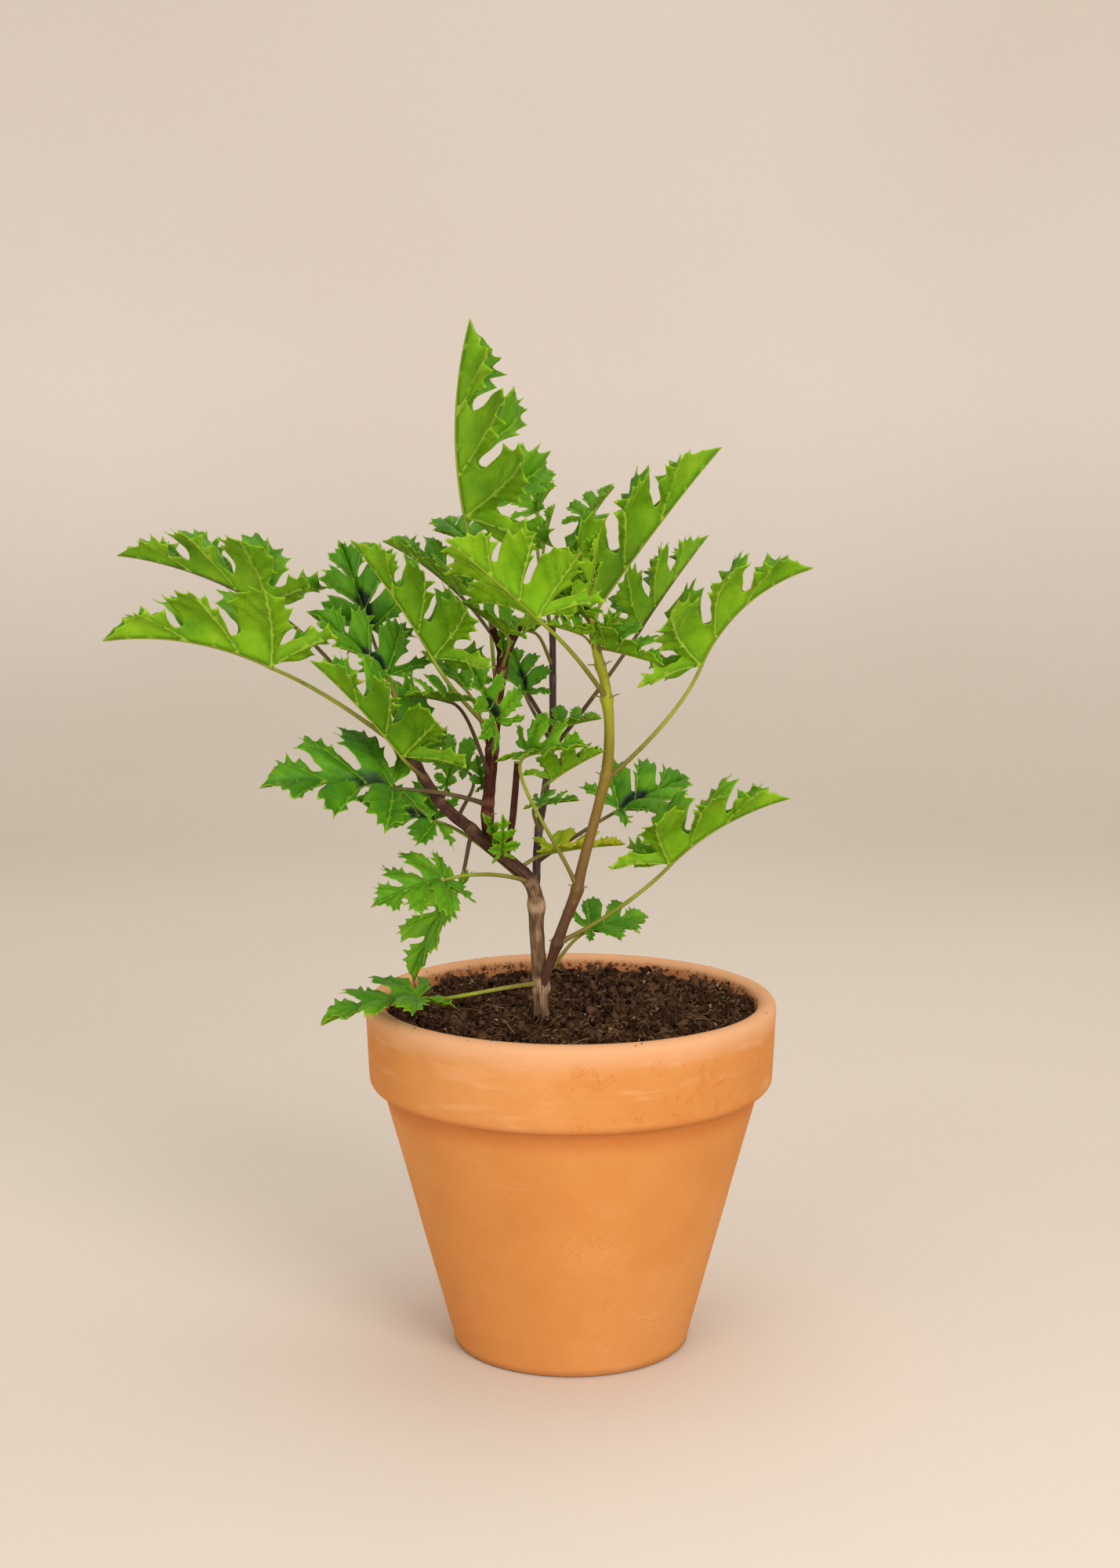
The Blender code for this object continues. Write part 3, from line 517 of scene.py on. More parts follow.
# Young folded leaves at the tips of the stems, in the same order of values
SHOOTS = {
    "shoot_left": ("right", 168, (5, -19, 176), (-9, -24, 187), (0.4, -0.5, 0.7), 58, 0.9, 8, 0),
    "shoot_back": ("right", 168, (8, -12, 178), (14, -6, 200), (-0.5, -0.4, 0.5), 66, 0.7, 5, 0),
    "shoot_low": ("right", 160, (4, -20, 168), (-11, -28, 173), (0.2, -0.4, 0.9), 56, 0.9, 8, 0),
    "shoot_middle": ("right", 165, (6, -19, 178), (-3, -23, 195), (0.6, -0.5, 0.3), 64, 0.8, 5, 0),
    "shoot_right": ("right", 158, (13, -19, 166), (21, -25, 178), (-0.5, -0.4, 0.7), 60, 0.8, 5, 0),
    "shoot_tip": ("right", 176, (7, -16, 182), (6, -17, 199), (-0.9, -0.3, 0.1), 70, 0.6, 5, 0),
    "shoot_prong": ("centre", 157, (-29, -4, 161), (-30, -8, 175), (0.2, -0.9, 0.3), 60, 0.7, 5, 0),
    "shoot_left_tip": ("main", 119, (-73, -26, 122), (-84, -30, 133), (0.3, -0.6, 0.7), 56, 0.8, 5, 0),
    "shoot_left_rear": ("main", 121, (-73, -20, 124), (-72, -14, 141), (0.1, -0.7, 0.5), 60, 0.8, 5, 0),
    "shoot_fork": ("centre", 76, (-31, -13, 78), (-38, -18, 92), (0.1, -0.8, 0.5), 56, 0.7, 5, 0),
}
# How dark the blotch at a blade's centre is, by leaf
BLOTCHED = {
    "left_inner": 1.0, "left_blotched": 0.95, "centre_dark": 0.9, "left_dark": 0.8,
    "right_blotched": 0.85, "inner_blotched": 1.0, "rear_left": 0.8, "right_tall": 0.75,
    "rear_dark": 0.9, "left_level": 0.6, "over_rim": 0.55, "front_pale": 0.0,
    "hanging": 0.1, "yellowing": 0.1, "young": 0.0, "rear_pale": 0.1,
}
BROWN_STALKS = {
    "left_high_tip", "left_level", "rear_upper", "centre_left", "inner_blotched",
    "right_blotched", "rear_left", "hanging", "right_rear", "left_inner",
}
YELLOWED = {"yellowing"}
# How young and pale a leaf is, from deep green at 0 to fresh yellow-green at 1
TONES = {
    "front_pale": 0.78, "young": 0.95, "rear_pale": 0.85, "rear_top": 0.85, "rear_middle": 0.9,
    "centre_yellow_stalk": 0.6, "top": 0.55, "right_far": 0.65, "right_tall": 0.45,
    "crinkled": 0.5, "right_rear": 0.5, "tiny_pale": 0.9, "left_low_tip": 0.45,
    "left_high_tip": 0.4, "right_lower": 0.45, "hanging": 0.95, "left_blotched": 0.15,
    "left_inner": 0.05, "left_dark": 0.05, "left_level": 0.1, "over_rim": 0.15,
    "centre_dark": 0.2, "rear_upper": 0.35, "inner_blotched": 0.0, "rear_dark": 0.0,
    "right_blotched": 0.15, "right_low_small": 0.15,
}


def spline(points, per_span):
    """Catmull-Rom through the rows of an array, ends included."""
    pts = np.asarray(points, float)
    ext = np.vstack([2 * pts[0] - pts[1], pts, 2 * pts[-1] - pts[-2]])
    out = []
    u = np.linspace(0.0, 1.0, per_span, endpoint=False)[:, None]
    for a, b, c, d in zip(ext, ext[1:], ext[2:], ext[3:]):
        square = (2 * a - 5 * b + 4 * c - d) * u**2
        out.append(0.5 * (2 * b + (c - a) * u + square + (3 * b - a - 3 * c + d) * u**3))
    return np.vstack(out + [pts[-1:]])


def smooth_noise(co, scale, seed=0.0):
    return noise.noise(Vector(co) * scale + Vector((seed, 1.7 * seed, -seed)))


def frames_along(points):
    """Tangent, side and up unit vectors, carried along a line without twist."""
    pts = np.asarray(points, float)
    tangents = np.gradient(pts, axis=0)
    tangents /= np.linalg.norm(tangents, axis=1, keepdims=True) + 1e-12
    helper = np.array([0.0, 1.0, 0.0]) if abs(tangents[0][1]) < 0.9 else np.array([1.0, 0.0, 0.0])
    side = np.cross(tangents[0], helper)
    sides = []
    for t in tangents:
        side = side - t * side.dot(t)
        side /= np.linalg.norm(side)
        sides.append(side.copy())
    sides = np.array(sides)
    return tangents, sides, np.cross(tangents, sides)


def tube_arrays(points, radii, sides, relief):
    """A round rod as (vertices, faces, uv, ridge). relief(angle, length) gives a share of the radius."""
    pts = np.asarray(points, float)
    radii = np.asarray(radii, float)
    _, side, up = frames_along(pts)
    run = np.concatenate([[0.0], np.cumsum(np.linalg.norm(np.diff(pts, axis=0), axis=1))])
    angle = np.linspace(0.0, 2 * math.pi, sides, endpoint=False)
    grow = np.ones((len(pts), sides))
    ridge = np.full((len(pts), sides), 0.5)
    if relief is not None:
        for i, length in enumerate(run):
            for j, a in enumerate(angle):
                swell = relief(a, length)
                grow[i, j] += swell
                ridge[i, j] = min(1.0, max(0.0, 0.5 + swell * 4.0))
    ring = np.cos(angle)[None, :, None] * side[:, None, :] + np.sin(angle)[None, :, None] * up[:, None, :]
    verts = pts[:, None, :] + ring * (radii[:, None] * grow)[:, :, None]
    verts = verts.reshape(-1, 3)
    count = len(pts)
    faces = []
    for i in range(count - 1):
        for j in range(sides):
            k = (j + 1) % sides
            faces.append((i * sides + j, i * sides + k, (i + 1) * sides + k, (i + 1) * sides + j))
    uv = np.stack([np.tile(angle / (2 * math.pi), count), np.repeat(run * 20.0, sides)], 1)
    ridge = ridge.reshape(-1)
    for end, flip in ((0, True), (count - 1, False)):
        centre = len(verts)
        verts = np.vstack([verts, pts[end][None]])
        uv = np.vstack([uv, [[0.5, run[end] * 20.0]]])
        ridge = np.append(ridge, 0.5)
        for j in range(sides):
            a, b = end * sides + j, end * sides + (j + 1) % sides
            faces.append((b, a, centre) if flip else (a, b, centre))
    return verts, faces, uv, ridge


def new_object(name, data):
    obj = bpy.data.objects.new(name, data)
    bpy.context.scene.collection.objects.link(obj)
    return obj


class Builder:
    """Collects arrays from several shapes into one mesh object."""

    def __init__(self, name):
        self.name = name
        self.verts = []
        self.faces = []
        self.slots = []
        self.uvs = []
        self.values = {}
        self.count = 0

    def add(self, verts, faces, uv=None, slot=0, **values):
        verts = np.asarray(verts, float)
        size = len(verts)
        self.faces += [tuple(i + self.count for i in f) for f in faces]
        self.slots += [slot] * len(faces)
        self.verts.append(verts)
        self.uvs.append(np.asarray(uv, float) if uv is not None else np.zeros((size, 2)))
        for key in set(self.values) | set(values):
            held = self.values.setdefault(key, np.zeros(self.count))
            item = values.get(key, 0.0)
            self.values[key] = np.concatenate([held, np.broadcast_to(np.asarray(item, float), (size,))])
        self.count += size

    def build(self, materials, node):
        mesh = bpy.data.meshes.new(self.name)
        verts = np.vstack(self.verts)
        mesh.from_pydata(verts.tolist(), [], self.faces)
        for mat in materials:
            mesh.materials.append(mat)
        mesh.polygons.foreach_set("material_index", self.slots)
        loops = np.empty(len(mesh.loops), np.int32)
        mesh.loops.foreach_get("vertex_index", loops)
        layer = mesh.uv_layers.new(name="flat")
        layer.data.foreach_set("uv", np.vstack(self.uvs)[loops].astype(np.float32).ravel())
        for key, value in self.values.items():
            item = mesh.attributes.new(key, "FLOAT", "POINT")
            item.data.foreach_set("value", value.astype(np.float32))
        mesh.update()
        mesh.shade_smooth()
        obj = new_object(self.name, mesh)
        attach(obj, "root")
        if node:
            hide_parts(node)


# ------------------------------------------------------------------ leaves
def inside(points, ring):
    """Which points lie inside a closed ring, by the even-odd rule."""
    x, y = points[:, 0:1], points[:, 1:2]
    x0, y0 = ring[:, 0][None], ring[:, 1][None]
    x1, y1 = np.roll(ring[:, 0], -1)[None], np.roll(ring[:, 1], -1)[None]
    crosses = (y0 > y) != (y1 > y)
    with np.errstate(divide="ignore", invalid="ignore"):
        at = x0 + (y - y0) * (x1 - x0) / (y1 - y0)
    return (crosses & (x < at)).sum(1) % 2 == 1


def outline_half(rng, step, tooth):
    """Half an outline with teeth kept sharp, sinuses rounded, and every tooth a little its own."""
    pts = np.array([(s, t) for s, t, _ in EDGE])
    sharp = [c for _, _, c in EDGE]
    for i in range(1, len(pts) - 1):
        if sharp[i]:
            pts[i] = tooth * pts[i] + (1.0 - tooth) * 0.5 * (pts[i - 1] + pts[i + 1])
    wobble = rng.normal(0.0, 0.008, pts.shape)
    wobble[0] = wobble[-1] = 0.0
    pts = pts + wobble
    pts[-1] = (1.0, 0.0)
    pts[:, 1] = np.maximum(pts[:, 1], 0.0)
    out = [pts[0]]
    start = 0
    for i in range(1, len(pts)):
        if sharp[i] or i == len(pts) - 1:
            run = spline(pts[start:i + 1], 3) if i - start > 1 else pts[start:i + 1]
            out += list(run[1:])
            start = i
    fine = [out[0]]
    for a, b in zip(out, out[1:]):
        parts = max(1, int(round(np.linalg.norm(b - a) / step)))
        fine += [a + (b - a) * (k + 1) / parts for k in range(parts)]
    return np.array(fine)


def distance_to(points, line):
    """Shortest distance from each point to a polyline."""
    best = np.full(len(points), 9.0)
    for a, b in zip(line, line[1:]):
        d = b - a
        u = np.clip(((points - a) @ d) / (d @ d + 1e-12), 0.0, 1.0)
        best = np.minimum(best, np.linalg.norm(points - (a + u[:, None] * d), axis=1))
    return best


class Template:
    """A flat blade: its points, triangles, edge ring, veins and edge values."""

    def __init__(self, seed, step, tooth):
        rng = np.random.default_rng(seed)
        left, right = outline_half(rng, step, tooth), outline_half(rng, step, tooth)
        ring = np.vstack([[[-0.012, 0.0]], left, right[-2::-1] * (1, -1)])
        lines = []
        for strength, pts in VEINS:
            line = spline(pts, 6)
            lines.append((strength, line))
            if any(p[1] for p in pts):
                lines.append((strength, line * (1, -1)))
        seeds = []
        for strength, line in lines:
            for a, b in zip(line, line[1:]):
                parts = max(1, int(round(np.linalg.norm(b - a) / (step * 0.9))))
                seeds += [a + (b - a) * k / parts for k in range(parts)]
        seeds = np.array(seeds)
        xs = np.arange(-0.3, 1.02, step)
        ys = np.arange(-0.62, 0.62, step * 0.866)
        grid = np.array([(x + (step / 2 if k % 2 else 0.0), y) for k, y in enumerate(ys) for x in xs])
        grid += rng.normal(0.0, step * 0.08, grid.shape)
        closed = np.vstack([ring, ring[:1]])
        keep = inside(seeds, ring)
        seeds = seeds[keep]
        seeds = seeds[distance_to(seeds, closed) > step * 0.35]
        grid = grid[inside(grid, ring)]
        grid = grid[distance_to(grid, closed) > step * 0.55]
        near = ((grid[:, None, :] - seeds[None]) ** 2).sum(2).min(1)
        grid = grid[near > (step * 0.55) ** 2]
        flat = np.vstack([ring, seeds, grid])
        outline = [list(range(len(ring)))]
        verts, _, faces, *_ = delaunay_2d_cdt([Vector(p) for p in flat], [], outline, 1, 1e-7)
        self.flat = np.array([(v.x, v.y) for v in verts])
        self.faces = [tuple(f)[::-1] for f in faces]
        used = {}
        for f in self.faces:
            for a, b in zip(f, f[1:] + f[:1]):
                used[(a, b)] = used.get((a, b), 0) + 1
        self.border = [(a, b) for a, b in used if (b, a) not in used]
        self.edge = np.clip(1.0 - distance_to(self.flat, closed) / 0.013, 0.0, 1.0)
        self.vein = np.zeros(len(self.flat))
        self.groove = np.zeros(len(self.flat))
        self.far = np.full(len(self.flat), 9.0)
        self.quilt = np.full(len(self.flat), 9.0)
        for strength, line in lines:
            gap = distance_to(self.flat, line)
            raised = strength**0.5 * np.exp(-((gap / (0.006 + 0.005 * strength)) ** 2))
            self.vein = np.maximum(self.vein, raised)
            self.groove = np.maximum(self.groove, strength * np.exp(-((gap / 0.020) ** 2)))
            self.quilt = np.minimum(self.quilt, gap)
            if strength > 0.7:
                self.far = np.minimum(self.far, gap)


class Blade:
    """Maps a flat blade to its folded, curled and ruffled place, as arrays."""

    def __init__(self, junction, tip, facing, fold, width, droop, seed):
        self.start = np.array(junction)
        chord = np.array(tip) - self.start
        size = np.linalg.norm(chord)
        self.along = chord / size
        up = np.array(facing, float)
        up = up - self.along * up.dot(self.along)
        self.up = up / np.linalg.norm(up)
        self.side = np.cross(self.along, self.up)
        self.droop = math.radians(droop) if abs(droop) > 0.05 else 0.001
        half = self.droop / 2
        self.length = size * half / math.sin(half)
        self.fold = math.radians(fold)
        self.width = width
        self.rng = np.random.default_rng(seed)
        self.waves = self.rng.uniform(0.0, 2 * math.pi, 6)

    def midrib(self, s):
        s = np.asarray(s, float)
        start = self.droop / 2
        angle = np.where(s <= 0.0, start, start - self.droop * s)
        run = np.where(s <= 0.0, s * math.cos(start), (math.sin(start) - np.sin(angle)) / self.droop)
        rise = np.where(s <= 0.0, s * math.sin(start), (np.cos(angle) - math.cos(start)) / self.droop)
        point = self.start + (run * self.length)[..., None] * self.along
        point = point + (rise * self.length)[..., None] * self.up
        normal = np.cos(angle)[..., None] * self.up - np.sin(angle)[..., None] * self.along
        return point, normal

    def surface(self, flat, template=None):
        s, t = flat[:, 0], flat[:, 1]
        base, normal = self.midrib(s)
        out = np.abs(t) * self.width * self.length
        bend = math.radians(RECURVE) / (0.5 * self.length)
        fold = self.fold * (1.0 - FOLD_LOSS * np.maximum(s, 0.0))
        across = (np.sin(fold) - np.sin(fold - bend * out)) / bend
        lift = (np.cos(fold - bend * out) - np.cos(fold)) / bend
        place = base + (across * np.sign(t))[:, None] * self.side + lift[:, None] * normal
        tilt = fold - bend * out
        face = np.cos(tilt)[:, None] * normal - (np.sin(tilt) * np.sign(t))[:, None] * self.side
        a, b, c, d = self.waves[:4]
        sway = np.sin(17.0 * s + 5.0 * t + a) * 0.5 + np.sin(29.0 * s - 9.0 * t + b) * 0.32
        sway += np.sin(11.0 * s + 23.0 * t + c) * 0.30
        wave = sway * np.minimum(np.abs(t) / 0.35, 1.0) ** 1.5 * 0.020 * self.length
        if template is not None:
            wave = wave - template.groove * 0.0055 * self.length
            wave = wave + (1.0 - np.exp(-template.far / 0.10)) * PLEAT * self.length
            wave = wave + (1.0 - np.exp(-template.quilt / 0.025)) * 0.015 * self.length
            wave = wave + template.edge * np.sin(60.0 * s + 40.0 * t + d) * 0.004 * self.length
            room = np.maximum(0.55 * across / np.maximum(np.sin(tilt), 0.05) - 0.0006, 0.0)
            wave = np.minimum(wave, room)
        return place + face * wave[:, None], face


def bezier(handles, count):
    u = np.linspace(0.0, 1.0, count)[:, None]
    a, b, c, d = (np.array(h) for h in handles)
    return (1 - u) ** 3 * a + 3 * (1 - u) ** 2 * u * b + 3 * (1 - u) * u**2 * c + u**3 * d


def height_on(path, height):
    line = spline([row[:3] for row in path], 8)
    order = np.argmin(np.abs(line[:, 2] - height))
    return plant_point(*line[order])


def add_tube(builder, points, radii, sides, slot, relief=None):
    verts, faces, uv, ridge = tube_arrays(points, radii, sides, relief)
    builder.add(verts, faces, uv, slot, ridge=ridge)


def build_leaf(name, row, index, templates, looks):
    stem, joint, junction, tip, facing, fold, width, droop, bow = row
    blade = Blade(plant_point(*junction), plant_point(*tip), facing, fold, width, droop, 100 + index)
    size = blade.length / MM
    template = templates["small" if size < SMALL_BLADE else "large"][index % 3]
    place, face = blade.surface(template.flat, template)
    thick = BLADE * MM * (1.0 - 0.55 * template.edge)
    rib = template.vein * 0.35 * MM * min(1.0, size / 60.0)
    top = place + face * (thick / 2)[:, None]
    low = place - face * (thick / 2 + rib)[:, None]
    s, t = template.flat[:, 0], template.flat[:, 1]
    short = name.replace("leaf_", "")
    dark = BLOTCHED.get(short, 0.35)
    spread = np.exp(-(((s - 0.20) / 0.24) ** 2 + (t / 0.13) ** 2))
    blotch = dark * np.clip(spread * 1.25 + 0.10 * template.groove * (s > 0), 0.0, 1.0)
    out = Builder(name.replace("leaf_", "blade_"))
    tone = TONES.get(short, 0.30) if name in LEAVES else 0.9
    tone = min(1.0, max(0.0, tone + 0.08 * blade.rng.normal()))
    values = {"vein": template.vein, "edge": template.edge, "groove": template.groove}
    values |= {"blotch": blotch, "tone": tone}
    out.add(top, template.faces, template.flat, 0, **values)
    out.add(low, [f[::-1] for f in template.faces], template.flat, 1, **values)
    count = len(template.flat)
    rim = [(a, a + count, b + count, b) for a, b in template.border]
    out.faces += rim
    out.slots += [1] * len(rim)
    root = np.array(height_on(PATHS[stem], joint))
    end, _ = blade.midrib(0.0)
    ahead = blade.midrib(0.02)[0] - end
    ahead = ahead / np.linalg.norm(ahead)
    reach = np.linalg.norm(end - root)
    lift = np.array([0.0, 0.0, bow * MM])
    handles = [root, root + (end - root) * 0.33 + lift, end - ahead * reach * 0.28 + lift * 0.5, end]
    stalk = bezier(handles, 22)
    shift = np.linspace(0.0, 1.0, len(stalk)) ** 3
    _, under = blade.midrib(0.0)
    stalk = stalk - under * (0.30 * MM) * shift[:, None]
    ribs = np.linspace(0.03, 0.93, 16)
    rib_place, rib_face = blade.surface(np.stack([ribs, np.zeros(16)], 1))
    rib_line = rib_place - rib_face * (0.45 * MM + 0.0065 * blade.length * 0.55)
    line = np.vstack([stalk, rib_line])
    thin = min(1.0, 0.7 + 0.3 * blade.length / 0.05)
    radius = PETIOLE_DIAMETER / 2 * MM * thin * (1.0 if name in LEAVES else 0.7)
    shares = np.concatenate([np.linspace(1.12, 0.80, len(stalk)), np.linspace(0.60, 0.14, 16)])
    shares[:3] *= (1.45, 1.25, 1.08)
    phase = index * 1.3

    def relief(angle, length):
        return 0.05 * math.sin(3 * angle + phase) + 0.05 * smooth_noise((angle, length * 300.0, phase), 1.0)

    add_tube(out, line, radius * shares, 12, 2, relief)
    stalk_look = looks["stalk_brown"] if short in BROWN_STALKS else looks["stalk_green"]
    warm = "_warm" if short in YELLOWED else ""
    pair = [looks["upper" + warm], looks["under" + warm]]
    out.build(pair + [stalk_look], name if name in LEAVES else None)


# ------------------------------------------------------------------ stems
# Material slots of a stem, after its skin
CUT = 1
STIPULE = 2


def stem_line(path, per_span=7):
    pts = spline([row[:3] for row in path], per_span)
    radii = spline([(row[3], 0.0) for row in path], per_span)[:, 0] * TRUNK_DIAMETER / 2
    return np.array([plant_point(*p) for p in pts]), radii * MM


def furrowed(depth, nodes, seed, streaks):
    """Relief of a woody stem: furrows along it, plus a ring at each node (mm along the stem)."""

    def relief(angle, length):
        mm = length / MM
        wander = smooth_noise((mm * 0.05, seed, 0.0), 1.0) * 1.2
        drift = 1.5 * smooth_noise((mm * 0.08, angle, seed), 1.0)
        groove = abs(math.sin(0.5 * streaks * (angle + 0.25 * wander) + drift))
        lump = smooth_noise((math.cos(angle) * 1.5, math.sin(angle) * 1.5, mm * 0.22 + seed), 1.0)
        swell = depth * (groove - 0.6) + depth * 0.9 * lump
        for at, size, high in nodes:
            swell += high * math.exp(-(((mm - at) / size) ** 2)) * (1.0 + 0.35 * math.sin(2 * angle + at))
            swell -= 0.35 * high * math.exp(-(((mm - at - 1.9 * size) / (0.5 * size)) ** 2))
        return swell

    return relief


def cut_face(out, path):
    """A slightly ragged cut end: a pale disk with a dark rim on the last point of a path."""
    line, radii = stem_line(path, 6)
    tangent = line[-1] - line[-2]
    tangent /= np.linalg.norm(tangent)
    pts = [line[-1] - tangent * 0.0004, line[-1] + tangent * 0.0002, line[-1] + tangent * 0.0005]
    wide = radii[-1] * 1.04

    def relief(angle, length):
        return 0.05 * math.sin(5 * angle) + 0.06 * smooth_noise((angle, length, 2.0), 3.0)

    add_tube(out, pts, [wide, wide, wide * 0.9], 28, CUT, relief)


def stipule(out, base, along, outward, size):
    """A small pointed papery bract: a folded triangle."""
    along = np.array(along) / np.linalg.norm(along)
    outward = np.array(outward) - along * np.dot(outward, along)
    outward /= np.linalg.norm(outward)
    side = np.cross(along, outward)
    rows = []
    steps = 7
    for i in range(steps):
        u = i / (steps - 1)
        half = 0.42 * size * math.sin(math.pi * min(1.0, 0.35 + 0.65 * u)) * (1.0 - u) ** 0.6 + 0.00008
        centre = np.array(base) + outward * size * (0.75 * u) + along * size * (0.55 * u - 0.25 * u * u)
        cup = along * 0.12 * size * (1 - u)
        rows.append([centre - side * half + cup, centre, centre + side * half + cup])
    verts = np.array(rows).reshape(-1, 3)
    thick = np.cross(side, outward) * 0.00016
    both = np.vstack([verts + thick, verts - thick])
    faces = []
    n = len(verts)
    for i in range(steps - 1):
        for j in range(2):
            a = i * 3 + j
            faces.append((a, a + 1, a + 4, a + 3))
            faces.append((n + a + 3, n + a + 4, n + a + 1, n + a))
        for j in (0, 2):
            a = i * 3 + j
            quad = (a, a + 3, n + a + 3, n + a)
            faces.append(quad if j == 0 else quad[::-1])
    faces.append((0, n, n + 1, 1))
    faces.append((1, n + 1, n + 2, 2))
    last = (steps - 1) * 3
    faces.append((last, last + 1, n + last + 1, n + last))
    faces.append((last + 1, last + 2, n + last + 2, n + last + 1))
    out.add(both, faces, both[:, :2] * 20.0, STIPULE, ridge=0.6)


def node_point(path, height):
    line, _ = stem_line(path, 8)
    i = int(np.argmin(np.abs(line[:, 2] - (SOIL_TOP + height) * MM)))
    i = min(max(i, 1), len(line) - 2)
    return line[i], line[i + 1] - line[i - 1]


def run_length(path, height):
    """How far along a stem, in mm, a height over the compost lies."""
    line, _ = stem_line(path, 9)
    i = int(np.argmin(np.abs(line[:, 2] - (SOIL_TOP + height) * MM)))
    return float(np.linalg.norm(np.diff(line[:i + 1], axis=0), axis=1).sum()) / MM


def rings(path, *heights, size=1.7, high=0.10):
    return [(run_length(path, h), size, high) for h in heights]


def stem_tube(out, path, sides, depth, nodes, seed, streaks, per_span=10):
    line, radii = stem_line(path, per_span)
    add_tube(out, line, radii, sides, 0, furrowed(depth, nodes, seed, streaks))


def build_stems(looks):
    ends = [looks["cut"], looks["stipule"]]
    out = Builder("stem_main")
    stem_tube(out, MAIN_STEM, 64, 0.085, rings(MAIN_STEM, 13, 16, 48, 51, 60, 72, 84, 97, 107, 115), 1.0, 19)
    for k, h in enumerate((60, 72, 84, 97, 113)):
        at, along = node_point(MAIN_STEM, h)
        turn = 1.9 * k + 0.6
        outward = np.array([math.cos(turn), math.sin(turn), 0.1])
        stipule(out, at + outward * 0.0019, along, outward, 0.0036 + 0.0006 * (k % 2))
    out.build([looks["bark"]] + ends, "main_stem")
    out = Builder("stem_centre")
    stem_tube(out, CENTRE_BRANCH, 36, 0.07, rings(CENTRE_BRANCH, 89, 94, 117, 136, 150, high=0.13), 5.0, 9)
    for path in (CENTRE_LEFT_PRONG, CENTRE_RIGHT_PRONG):
        stem_tube(out, path, 28, 0.07, [], 8.0, 9, 8)
        cut_face(out, path)
    for k, h in enumerate((89, 94, 117, 136)):
        at, along = node_point(CENTRE_BRANCH, h)
        outward = np.array([math.cos(2.3 * k), math.sin(2.3 * k) - 0.4, 0.1])
        stipule(out, at + outward * 0.0020, along, outward, 0.0032)
    out.build([looks["red"]] + ends, "centre_branch")
    out = Builder("stem_back")
    stem_tube(out, BACK_BRANCH, 28, 0.05, rings(BACK_BRANCH, 80, 114, 144), 2.0, 7)
    out.build([looks["purple"]] + ends, "back_branch")
    out = Builder("stem_right")
    right_rings = rings(RIGHT_BRANCH, 34, 58, 107, 140, 154, high=0.16, size=1.5)
    stem_tube(out, RIGHT_BRANCH, 36, 0.035, right_rings, 4.0, 7)
    for h, size in ((34, 3.2), (58, 3.6), (107, 4.2), (140, 5.6), (154, 5.0)):
        at, along = node_point(RIGHT_BRANCH, h)
        for sign in (-1, 1):
            outward = np.array([sign, -0.35, 0.1])
            stipule(out, at + outward * 0.0018, along, outward, size * MM)
    out.build([looks["right"]] + ends, "right_branch")
    out = Builder("stem_stub")
    stem_tube(out, CUT_STUB, 26, 0.06, [], 6.0, 7)
    cut_face(out, CUT_STUB)
    out.build([looks["red"]] + ends, "cut_stub")


# ------------------------------------------------------------------ pot
def arc(centre, radius, start, end, count):
    angles = np.linspace(math.radians(start), math.radians(end), count)
    return [(centre[0] + radius * math.cos(a), centre[1] + radius * math.sin(a)) for a in angles]


def pot_inner_radius(height):
    under_rim = POT_HEIGHT - RIM_BAND_HEIGHT
    slope = (WALL_RADIUS_UNDER_RIM - BASE_RADIUS) / under_rim
    body = BASE_RADIUS + slope * min(height, under_rim) - WALL_THICKNESS
    inner_lip = RIM_RADIUS - 2 * RIM_LIP_RADIUS
    if height <= under_rim:
        return body
    return body + (inner_lip - body) * (height - under_rim) / RIM_BAND_HEIGHT


